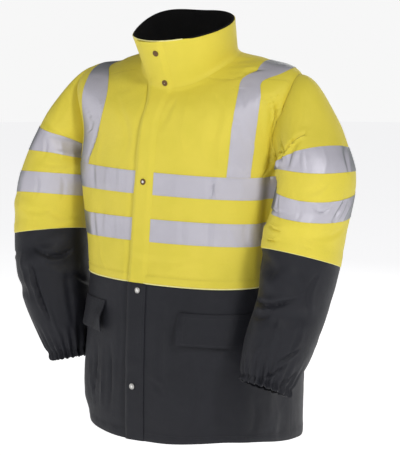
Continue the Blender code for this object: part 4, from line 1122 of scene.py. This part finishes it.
class Jacket:
    """All the pieces, made on shared grids so that overlays follow the cloth below."""

    def __init__(self, materials):
        self.materials = materials
        closure = table_splines(CLOSURE_COLUMNS, CLOSURE, "up")
        self.body = Rings(BODY_RINGS, closure, BODY_FOLDS, HEM_RISES, 0, HEM_REACH, body_fine)
        neck = {name: (lambda up, at_neck=spline(NECK): at_neck + 0 * up)
                for name, spline in closure.items()}
        self.collar = Rings(COLLAR_RINGS, neck, (), COLLAR_RISES, COLLAR_TOP, COLLAR_REACH)
        nominal, up = np.meshgrid(NOMINALS, BODY_ROWS)
        angle, up = body_place(self.body, nominal, up)
        body_points = self.body.point(angle, up)
        nominal, up = np.meshgrid(NOMINALS, COLLAR_ROWS)
        points = self.collar.point(self.collar.angle(shoulder_warp(nominal, NECK), up), up)
        whole = np.concatenate([body_points, points[1:]])
        seam = len(body_points) - 1
        near = slice(seam - NECK_FILLET, seam + NECK_FILLET + 1)
        for _ in range(NECK_SMOOTHING):
            strip = whole[near]
            strip[1:-1] = (strip[:-2] + 2 * strip[1:-1] + strip[2:]) / 4
        normals = grid_normals(whole, closed=True)
        self.grid = Grid(whole[:seam + 1], normals[:seam + 1])
        self.collar_grid = Grid(whole[seam:], normals[seam:])
        self.stitches = {"yellow_thread": [], "dark_thread": [], "silver_thread": []}
        self.edges = []
        self.made = {}

    def body_line(self, nominal, up, lift):
        """Points and normals along places on the body's grid."""
        nominal, up = np.broadcast_arrays(np.asarray(nominal, float), np.asarray(up, float))
        angle, up = body_place(self.body, nominal, up)
        normals = self.body.normal(self.body.point, angle, up)
        return self.body.point(angle, up) + normals * lift, normals

    def body_path(self, nominal, up, lift, thread):
        """Add stitching along places on the body's grid."""
        self.stitches[thread].append(self.body_line(nominal, up, lift))

    def finish(self, obj, node, slot):
        """Put a piece in place of its solid, on the one body. The slot is not used."""
        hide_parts(node)
        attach(obj, "root")
        self.made[node] = obj

    def piece(self, node, sheet, cells, colour, thickness, *edges):
        """Make one cloth piece, as a thin shell on some cells of a sheet."""
        obj = add_shell(f"look_{node}", sheet, cells, self.materials[colour], thickness, *edges)
        self.finish(obj, node, SLOTS[colour])

    def make_body(self):
        """The fronts and the back, each in a yellow upper and a dark lower piece."""
        grid = self.grid
        up = np.repeat(BODY_ROWS, len(NOMINALS))
        double = {"yellow": doubled(up, WAIST + WAIST_STITCH, WAIST_DOUBLE),
                  "dark": doubled(up, HEM_STITCH, HEM_DOUBLE)}

        def part(low, high, start, end):
            return grid.cells(rows_between(BODY_ROWS, low, high), columns_between(start, end))

        def panel(node, colour, *parts):
            self.piece(node, grid, np.concatenate(parts), colour, CLOTH, double[colour], BODY_DIP)

        for label, side in SIDES:
            below, beside, above = (sorted((0, side * edge)) for edge in
                                    (SIDE_SEAM, ARMHOLE_FRONT, SHOULDER_SEAM))
            panel(f"front_{label}_upper", "yellow", part(WAIST, ARMHOLE_LOW, *below),
                  part(ARMHOLE_LOW, ARMHOLE_HIGH, *beside), part(ARMHOLE_HIGH, NECK, *above))
            panel(f"front_{label}_lower", "dark", part(0, WAIST, *below))
        panel("back_upper", "yellow", part(WAIST, ARMHOLE_LOW, SIDE_SEAM, -SIDE_SEAM),
              part(ARMHOLE_LOW, ARMHOLE_HIGH, ARMHOLE_BACK, -ARMHOLE_BACK),
              part(ARMHOLE_HIGH, NECK, SHOULDER_SEAM, -SHOULDER_SEAM))
        panel("back_lower", "dark", part(0, WAIST, SIDE_SEAM, -SIDE_SEAM))

    def make_bands(self):
        """The two bands of tape round the body, open under the storm flap."""
        grid = self.grid
        around = np.concatenate([np.linspace(FLAP_EDGE, 180, BAND_POINTS),
                                 np.linspace(-180, -FLAP_EDGE, BAND_POINTS)])
        for name, middle in (("upper", UPPER_BAND), ("lower", LOWER_BAND)):
            low, high = middle - TAPE_WIDTH / 2, middle + TAPE_WIDTH / 2
            cells = grid.cells(rows_between(BODY_ROWS, low, high),
                               columns_between(FLAP_EDGE, -FLAP_EDGE))
            self.piece(f"torso_band_{name}", grid, cells, "silver", TAPE, TAPE_LIFT)
            for place in (low + TAPE_STITCH, high - TAPE_STITCH):
                self.body_path(around, place, TAPE_LIFT, "silver_thread")

    def make_straps(self):
        """The strap of tape over each shoulder, cut out of the body's cells."""
        low, high = row(BODY_ROWS, ARMHOLE_LOW), row(BODY_ROWS, ARMHOLE_HIGH)
        rows = rows_between(BODY_ROWS, UPPER_BAND + TAPE_WIDTH / 2, NECK)
        beside = rows[(rows >= low) & (rows < high)]
        rest = rows[(rows < low) | (rows >= high)]
        for (label, side), table in zip(SIDES, (STRAP_LEFT, STRAP_RIGHT)):
            edges = table_splines(STRAP_COLUMNS, table, "run")
            hole = columns_between(*sorted((side * ARMHOLE_FRONT, side * ARMHOLE_BACK)))
            columns = columns_between(*((0, 180) if side > 0 else (180, 0)))
            cells = np.concatenate([self.grid.cells(beside, columns[~np.isin(columns, hole)]),
                                    self.grid.cells(rest, columns)])
            sheet, cells = self.strap_sheet(cells, side, edges)
            self.piece(f"strap_{label}", sheet, cells, "silver", TAPE, TAPE_LIFT)
            for name, inset in (("inner", TAPE_STITCH), ("outer", -TAPE_STITCH)):
                self.strap_stitching(side, edges[name], inset, slice(low, high + 1), hole)

    @staticmethod
    def beyond(points, side, edge, inset=0):
        """How far out points lie past a strap's edge, in metres, moved out by the inset."""
        run = points[..., 1] * (1 + np.abs(points[..., 2]) / STRAP_CLIMB)
        return side * points[..., 0] - (edge(run / MM) + inset) * MM

    def strap_stitching(self, side, edge, inset, hole_rows, hole):
        """Stitch up the front and down the back of one strap edge, where it crosses each row."""
        points, normals = self.grid.fields()
        values = self.beyond(points, side, edge, inset)
        values[hole_rows, hole] = np.nan
        first_row = row(BODY_ROWS, UPPER_BAND + TAPE_WIDTH / 2)
        ridge, end = side * STRAP_RIDGE, side * STRAP_END
        for half in (columns_between(*sorted((0, ridge))), columns_between(*sorted((ridge, end)))):
            path = []
            for number in range(first_row, self.grid.rows):
                value = values[number, half]
                change = np.flatnonzero(value[:-1] * value[1:] < 0)
                if len(change) == 1:
                    a, b = (number, half[change[0]]), (number, half[change[0] + 1])
                    share = values[a] / (values[a] - values[b])
                    path.append([field[a] + (field[b] - field[a]) * share
                                 for field in (points, normals)])
            if len(path) > STRAP_LEAST_POINTS:
                path = np.array(path)
                self.stitches["silver_thread"].append((path[:, 0] + path[:, 1] * TAPE_LIFT,
                                                       path[:, 1]))

    def strap_sheet(self, cells, side, edges):
        """Cut a strap out of the body's cells between two edges that run over the shoulder."""
        points, normals = self.grid.points, self.grid.normals
        triangles = np.concatenate([cells[:, [0, 1, 2]], cells[:, [0, 2, 3]]])
        for sign, edge in ((1, "inner"), (-1, "outer")):
            values = sign * self.beyond(points, side, edges[edge])
            points, normals, triangles = clip_sheet(points, normals, triangles, values)
        return Sheet(points, normals), triangles

    def make_sleeve(self, label, side, rows, shift):
        """One sleeve: its yellow and dark lengths, its two bands and their stitching."""
        arm = Arm(rows, side, arm_fine(side))
        loop = np.array([r * self.grid.columns + c for r, c in armhole_loop(side)])
        loop_points = self.grid.points[loop]
        rings = sleeve_surface(arm, loop_points, SLEEVE_ROWS, shift)
        rings = rings[::-1] if side < 0 else rings[::-1, ::-1]
        grid = Grid(rings, grid_normals(rings, closed=True))
        down_rows = SLEEVE_ROWS[::-1]

        def length(name, start, end, colour, thickness, *edges):
            cells = grid.cells(np.arange(row(down_rows, end), row(down_rows, start)),
                               np.arange(grid.columns))
            self.piece(f"sleeve_{label}_{name}", grid, cells, colour, thickness, *edges)

        over = doubled(-np.repeat(down_rows, grid.columns), WAIST_STITCH - ELBOW_SEAM,
                       ELBOW_DOUBLE)
        length("upper", 0, ELBOW_SEAM, "yellow", CLOTH, over, SLEEVE_DIP)
        length("lower", ELBOW_SEAM, CUFF_EDGE, "dark", CLOTH, 0.0, BODY_DIP)
        length("band_upper", *SLEEVE_BAND_UPPER, "silver", TAPE, TAPE_LIFT)
        length("band_lower", *SLEEVE_BAND_LOWER, "silver", TAPE, TAPE_LIFT)
        lines = [(edges[end] + inset, TAPE_LIFT, "silver_thread")
                 for end, inset in ((0, TAPE_STITCH), (1, -TAPE_STITCH))
                 for edges in (SLEEVE_BAND_UPPER, SLEEVE_BAND_LOWER)]
        lines += [(ARMHOLE_STITCH, 0.0, "yellow_thread"),
                  (ELBOW_SEAM - WAIST_STITCH, 0.6 * MM, "yellow_thread"),
                  (ELBOW_SEAM - ROLL_PLACE, 1.0 * MM, "edge"), (CUFF_ELASTIC, 0.0, "dark_thread")]
        for place, lift, thread in lines:
            rings = sleeve_surface(arm, loop_points, [place - 1, place, place + 1], shift)
            rings = np.concatenate([rings, rings[:, :1]], 1)
            across = np.gradient(rings[1], axis=0)
            normals = unit(np.cross(rings[2] - rings[0], across)) * side
            if thread == "edge":
                self.edges.append((rings[1] + normals * lift, normals, ROLL_RADIUS))
            else:
                self.stitches[thread].append((rings[1] + normals * lift, normals))

    def make_collar(self):
        """The collar's outer cloth and lining, which both start and end at the closure line."""
        grid = self.collar_grid
        columns = (column(0) + np.arange(grid.columns + 1)) % grid.columns
        points, normals = (field[:, columns] for field in grid.fields())
        cells = Grid(points, normals).all_cells()
        # Round the back the lining stands a little over the outer cloth and hides its edge.
        behind = smooth_step((np.abs(NOMINALS[columns]) - COLLAR_FRONT) / COLLAR_EASE)[:, None]
        down = unit(points[-2] - points[-1]) * MM
        shorter, lowered = points.copy(), points.copy()
        shorter[-1] += down * OUTER_SHORTER * behind
        lowered[-1] += down * (1 - behind)
        self.piece("collar_outer", Grid(shorter, normals), cells, "yellow", CLOTH, 0.0, 0.0,
                   -SEAM_GAP)
        self.piece("collar_lining", Grid(lowered, normals), cells, "fleece", LINING,
                   -(CLOTH + LINING_GAP), LINING_DIP)
        around = row(COLLAR_ROWS, COLLAR_STITCH)
        self.stitches["yellow_thread"].append((points[around], normals[around]))
        front = np.flatnonzero(np.abs(NOMINALS[columns]) < COLLAR_FRONT)
        front = front[np.argsort(NOMINALS[columns][front])]
        self.edges.append((shorter[-1][front] - down[front] * COLLAR_ROLL_DROP
                           - normals[-1][front] * CLOTH / 2, normals[-1][front],
                           COLLAR_ROLL_RADIUS))

    def make_storm_flap(self):
        """The storm flap in two lengths, on the body and collar, its free edge standing off."""
        body, collar = self.grid, self.collar_grid
        shape = (body.rows + collar.rows - 1, body.columns, 3)
        columns = columns_with_end(-FLAP_EDGE, FLAP_EDGE)
        points, normals = (np.concatenate([low, high[collar.columns:]]).reshape(shape)[:, columns]
                           for low, high in ((body.points, collar.points),
                                             (body.normals, collar.normals)))
        normals = smooth_rows(normals)
        across = (NOMINALS[columns] + FLAP_EDGE) / (2 * FLAP_EDGE)
        heights = np.concatenate([BODY_ROWS, NECK + COLLAR_ROWS[1:]])
        top = NECK + COLLAR_TOP
        wave = FLAP_STAND_NOISE(0.3, heights / top)
        stand = (1 - across) ** FLAP_STAND_POWER * (FLAP_STAND + FLAP_WAVE * wave)[:, None]
        curl = FLAP_CURL * (1 - smooth_step(across / FLAP_CURL_SHARE))
        merge = smooth_step((across - FLAP_MERGE) / (1 - FLAP_MERGE)) * (heights > WAIST)[:, None]
        roll = FLAP_ROLL * bump((across - 1) / FLAP_ROLL_SHARE) * (heights <= WAIST)[:, None]
        lift = ((FLAP_SEAM_LIFT + FLAP_CLOTH / MM) * (1 - FLAP_THINNED * merge)
                + stand - curl - roll) * MM
        for name, low, high, colour in (("upper", WAIST, top, "yellow"),
                                        ("lower", 0, WAIST, "dark")):
            keep = (heights >= low - 0.01) & (heights <= high + 0.01)
            strip = Grid(points[keep], normals[keep])
            height = lift[keep].reshape(-1)
            self.piece(f"storm_flap_{name}", strip, strip.all_cells(), colour,
                       np.minimum(FLAP_CLOTH, height - 0.1 * MM), height, STORM_FLAP_DIP)
            lifted = points[keep] + normals[keep] * lift[keep][..., None]
            for place in ((2,) if colour == "yellow" else (2, -3)):
                self.stitches[f"{colour}_thread"].append((lifted[:, place],
                                                          normals[keep][:, place]))
        self.flap_sheet = points, normals, lift, heights, across

    def make_pocket_flap(self, label, side):
        """A pocket flap, sewn along its top, standing off more toward its lower front corner."""
        edges = sorted((side * POCKET_FRONT, side * POCKET_BACK))
        rows = np.arange(row(BODY_ROWS, POCKET_FLAP_BOTTOM), row(BODY_ROWS, POCKET_FLAP_TOP) + 1)
        columns = columns_with_end(*edges)
        points, normals = (field[np.ix_(rows, columns)] for field in self.grid.fields())
        normals = smooth_rows(normals)
        down = (POCKET_FLAP_TOP - BODY_ROWS[rows]) / (POCKET_FLAP_TOP - POCKET_FLAP_BOTTOM)
        from_front = (np.abs(NOMINALS[columns]) - POCKET_FRONT) / (POCKET_BACK - POCKET_FRONT)
        down, from_front = np.meshgrid(down, from_front, indexing="ij")
        front, reach = POCKET_FRONT_STAND[side]
        stand = POCKET_STAND * down ** POCKET_STAND_POWER
        stand = stand + front * (1 - smooth_step(from_front / POCKET_FRONT_SHARE)) * bump(
            (down - POCKET_FRONT_MIDDLE) / reach)
        stand += POCKET_WAVE * POCKET_NOISE(from_front * 0.9, down)
        lift = (POCKET_SEAM_LIFT + FLAP_CLOTH / MM + stand) * MM
        flap = Grid(points, normals)
        self.piece(f"pocket_flap_{label}", flap, flap.all_cells(), "dark", FLAP_CLOTH,
                   lift.reshape(-1), POCKET_FLAP_DIP)
        lifted = points + normals * lift[..., None]
        inner = slice(1, -1)
        for path in ((1, inner), (-3, inner), (inner, 2), (inner, -3)):
            self.stitches["dark_thread"].append((lifted[path], normals[path]))

    def make_seams(self):
        """Stitching beside the seams of the body, and the rolled edge at the waist."""
        ring = np.linspace(-179.9, 179.9, RING_POINTS)
        closed = np.append(ring, ring[0])
        self.body_path(closed, HEM_STITCH, HEM_DOUBLE * MM, "dark_thread")
        self.edges.append((*self.body_line(closed, WAIST + ROLL_PLACE, 1.0 * MM), ROLL_RADIUS))
        self.body_path(closed, WAIST + WAIST_STITCH, WAIST_DOUBLE * MM, "yellow_thread")
        up = np.linspace(*SIDE_STITCHED, SIDE_POINTS)
        climb = np.linspace(*SHOULDER_STITCHED, SHOULDER_POINTS)
        for side in (1, -1):
            for part, thread in ((up[up < WAIST - WAIST_CLEAR], "dark_thread"),
                                 (up[up > WAIST + WAIST_CLEAR], "yellow_thread")):
                self.body_path(side * (SIDE_SEAM - SIDE_ASIDE), part, SEAM_LIFT, thread)
            for offset in (-SHOULDER_ASIDE, SHOULDER_ASIDE):
                self.body_path(side * (SHOULDER_SEAM + offset), climb, SEAM_LIFT, "yellow_thread")

    def make_edges(self):
        """The thin rolled cloth edges at the waist, the elbows and the collar's front, in a pale
        yellow that is a painted highlight.
        """
        vertices, faces = roll_mesh(self.edges)
        # Painted highlight: the rolls are coloured a pale yellow, lighter than the cloth.
        obj = add_mesh("look_rolled_edges_highlight", vertices, [faces], self.materials["yellow_edge_highlight"], 0)
        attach(obj, "root")

    def make_stitches(self):
        """All the stitching, as one piece for each colour of thread."""
        for thread, paths in self.stitches.items():
            vertices, faces = stitch_mesh(paths)
            obj = add_mesh(f"stitching_{thread}", vertices, [faces], self.materials[thread], 0)
            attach(obj, "root")


EDGE_SIDES = 6


def tube_faces(rings, sides):
    """Quads over a stack of rings that close round, numbered ring by ring."""
    grid = np.arange(rings * sides).reshape(rings, sides)
    beside = np.roll(grid, -1, axis=1)
    return np.stack([grid[:-1], beside[:-1], beside[1:], grid[1:]], -1).reshape(-1, 4)


def roll_mesh(paths):
    """Vertices and faces of the rolled cloth edges along open paths of points and normals."""
    vertices, faces, base = [], [], 0
    for points, normals, radius in paths:
        side = unit(np.cross(normals, np.gradient(points, axis=0)))
        turn = np.arange(EDGE_SIDES) * 2 * math.pi / EDGE_SIDES
        ring = (normals[:, None] * np.cos(turn)[:, None] + side[:, None] * np.sin(turn)[:, None])
        vertices.append((points[:, None] + ring * radius).reshape(-1, 3))
        faces.append(base + tube_faces(len(points), EDGE_SIDES))
        base += len(points) * EDGE_SIDES
    return np.concatenate(vertices), np.concatenate(faces)


NORMAL_SMOOTHING = 6


def smooth_rows(normals):
    """Even out normals over a strip, so that what stands off it keeps a clean edge."""
    for _ in range(NORMAL_SMOOTHING):
        padded = np.pad(normals, ((1, 1), (1, 1), (0, 0)), mode="edge")
        normals = (padded[:-2, 1:-1] + padded[2:, 1:-1] + padded[1:-1, :-2] + padded[1:-1, 2:]
                   + padded[1:-1, 1:-1] * 2) / 6
    return unit(normals)


# Points this near a cut count as on it, so that no sliver is left.
CLIP_SNAP = 0.3 * MM


def clip_sheet(points, normals, triangles, values):
    """Keep the part of a sheet of triangles where the values at its points are not negative."""
    values = np.where(np.abs(values) < CLIP_SNAP, 0.0, values)
    corner = values[triangles]
    whole = triangles[(corner >= 0).all(1) & (corner > 0).any(1)]
    crossing = triangles[((corner < 0).any(1)) & ((corner > 0).any(1))]
    new_points, new_normals, cuts = list(points), list(normals), {}

    def cut(a, b):
        key = (min(a, b), max(a, b))
        if key not in cuts:
            share = values[a] / (values[a] - values[b])
            cuts[key] = len(new_points)
            new_points.append(points[a] + (points[b] - points[a]) * share)
            new_normals.append(unit(normals[a] + (normals[b] - normals[a]) * share))
        return cuts[key]

    kept = [tuple(t) for t in whole]
    for triangle in crossing.tolist():
        outline = []
        for a, b in zip(triangle, triangle[1:] + triangle[:1]):
            if values[a] >= 0:
                outline.append(a)
            if values[a] * values[b] < 0:
                outline.append(cut(a, b))
        kept += [(outline[0], outline[i], outline[i + 1]) for i in range(1, len(outline) - 1)]
    return np.array(new_points), np.array(new_normals), np.array(kept)


# Press studs: height on the flap (the collar counts on from the neck) and distance toward the
# sewn edge, in millimetres, the metal, and the share of the radius painted near-white as a
# highlight on the dome. The profile is from the middle out and back: shares of the radius, and
# heights in millimetres.
SNAPS = [(893, 5, "bronze", 0.14), (827, 9, "bronze", 0.30), (546, 0, "bronze", 0.44),
         (311, 2, "nickel", 0.50), (98, -3, "nickel", 0.44)]
SNAP_RADIUS = 6.5
SNAP_PROFILE = [(0.0, -0.6), (0.90, -0.6), (1.0, -0.2), (1.0, 0.9), (0.96, 1.35), (0.88, 1.7),
                (0.78, 1.85), (0.68, 1.75), (0.60, 1.35), (0.56, 1.05), (0.50, 1.1),
                (0.40, 1.45), (0.26, 1.7), (0.12, 1.82), (0.0, 1.85)]
SNAP_SEGMENTS = 40
SNAP_SEAT = 0.2 * MM


def make_snaps(jacket):
    """Press studs: a domed cap inside a rolled ring, turned from one profile, with a painted
    highlight at the cap's middle.
    """
    points, normals, lift, heights, across = jacket.flap_sheet
    turn = np.arange(SNAP_SEGMENTS) * 2 * math.pi / SNAP_SEGMENTS
    radius, rise = (np.array(SNAP_PROFILE)[:, [i]] * np.ones_like(turn) * MM for i in (0, 1))
    radius = radius * SNAP_RADIUS
    vertices = np.stack([radius * np.cos(turn), radius * np.sin(turn), rise], -1).reshape(-1, 3)
    faces = tube_faces(len(SNAP_PROFILE), SNAP_SEGMENTS)
    for number, (height, aside, metal, highlight_share) in enumerate(SNAPS, 1):
        share = 0.5 + aside / SEWN / 2
        r, c = int(np.argmin(np.abs(heights - height))), int(np.argmin(np.abs(across - share)))
        place = Vector(points[r, c] + normals[r, c] * (lift[r, c] + SNAP_SEAT))
        snap = add_mesh(f"look_snap_{number}", vertices, [faces], jacket.materials[metal], 60)
        # Painted highlight: faces near the middle of the cap take a near-white metal.
        snap.data.materials.append(jacket.materials["snap_highlight"])
        for face in snap.data.polygons:
            face.material_index = int(face.center.length < highlight_share * SNAP_RADIUS * MM)
        rotation = Vector((0, 0, 1)).rotation_difference(Vector(normals[r, c]))
        snap.data.transform(Matrix.Translation(place) @ rotation.to_matrix().to_4x4())
        jacket.finish(snap, f"snap_{number}", "snap_metal")


# The photograph's viewing angle: degrees to the wearer's left of the front, and up.
CAMERA_AZIMUTH = 33
CAMERA_ELEVATION = 9
CAMERA_DISTANCE = 2.75
CAMERA_ASIDE = 0.0376
CAMERA_TARGET = (0.0, -0.034, -0.37)
CAMERA_LENS = 100.1
SENSOR_WIDTH = 36

# Round soft lights: name, degrees from the front, height, distance, size and power.
LIGHTS = [("key", 60, 1.7, 3.0, 0.6, 52), ("front", 6, 1.0, 3.0, 1.0, 18),
          ("fill", -60, 0.5, 3.0, 1.8, 9), ("back", 190, 0.9, 3.0, 1.6, 18)]
LIGHT_COLOUR = (1.0, 0.995, 0.985)
LIGHT_TARGET = (0, 0, -0.4)

# The floor is a wide pale disk that glows a little; the world is pale at the horizon, and grey
# above, each at a share of the way from straight down to straight up.
FLOOR_HEIGHT = -1.16
FLOOR_RADIUS = 14
FLOOR_SIDES = 96
FLOOR_GLOW = 0.74
HORIZON = (0.512, (0.93, 0.93, 0.93))
SKY = (0.57, (0.16, 0.16, 0.17))


def add_aimed(name, data, place, at):
    """Add a camera or light at a place, looking at another."""
    obj = bpy.data.objects.new(name, data)
    obj.location = place
    obj.rotation_euler = (Vector(at) - Vector(place)).to_track_quat("-Z", "Y").to_euler()
    bpy.context.scene.collection.objects.link(obj)
    return obj


def make_camera():
    azimuth, elevation = math.radians(CAMERA_AZIMUTH), math.radians(CAMERA_ELEVATION)
    right = Vector((math.cos(azimuth), math.sin(azimuth), 0))
    target = Vector(CAMERA_TARGET) + right * CAMERA_ASIDE
    away = Vector((math.sin(azimuth) * math.cos(elevation),
                   -math.cos(azimuth) * math.cos(elevation), math.sin(elevation)))
    data = bpy.data.cameras.new("camera")
    data.lens = CAMERA_LENS
    data.sensor_width = SENSOR_WIDTH
    bpy.context.scene.camera = add_aimed("camera", data, target + away * CAMERA_DISTANCE, target)


def make_lights():
    for name, turn, height, distance, size, power in LIGHTS:
        data = bpy.data.lights.new(name, "AREA")
        data.shape = "DISK"
        data.size = size
        data.energy = power
        data.color = LIGHT_COLOUR
        turn = math.radians(turn)
        place = (math.sin(turn) * distance, -math.cos(turn) * distance, height)
        add_aimed(name, data, place, LIGHT_TARGET)


def make_floor(material):
    mesh = bpy.data.meshes.new("floor")
    turn = np.arange(FLOOR_SIDES) * 2 * math.pi / FLOOR_SIDES
    rim = np.stack([np.cos(turn) * FLOOR_RADIUS, np.sin(turn) * FLOOR_RADIUS,
                    turn * 0 + FLOOR_HEIGHT], -1)
    mesh.from_pydata(rim.tolist(), [], [list(range(FLOOR_SIDES))])
    mesh.materials.append(material)
    graph = Graph(material, "Principled BSDF")
    graph.set(graph.main, Emission_Color=(1, 1, 1, 1), Emission_Strength=FLOOR_GLOW,
              Specular_IOR_Level=0.0)
    floor = bpy.data.objects.new("floor", mesh)
    bpy.context.scene.collection.objects.link(floor)


def make_world():
    world = bpy.data.worlds.new("studio")
    bpy.context.scene.world = world
    graph = Graph(world, "Background")
    split_up = graph.add("SeparateXYZ", "Z", Vector=graph.add("TexCoord", "Generated"))
    half = graph.add("MapRange", "Result", Value=split_up, From_Min=-1.0, From_Max=1.0)
    graph.set(graph.main, Color=graph.ramp(half, HORIZON, SKY), Strength=1.0)
    bpy.context.scene.view_settings.view_transform = "Standard"


def write_sizes():
    """Bring the scene's placements up to date."""
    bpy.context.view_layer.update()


def main():
    materials = make_materials()
    jacket = Jacket(materials)
    jacket.make_body()
    jacket.make_bands()
    jacket.make_straps()
    jacket.make_sleeve("left", 1, LEFT_ARM, 0.0)
    jacket.make_sleeve("right", -1, RIGHT_ARM, 0.37)
    jacket.make_collar()
    jacket.make_storm_flap()
    for label, side in SIDES:
        jacket.make_pocket_flap(label, side)
    make_snaps(jacket)
    jacket.make_seams()
    jacket.make_stitches()
    jacket.make_edges()
    make_camera()
    make_lights()
    make_floor(materials["floor"])
    make_world()
    write_sizes()


main()
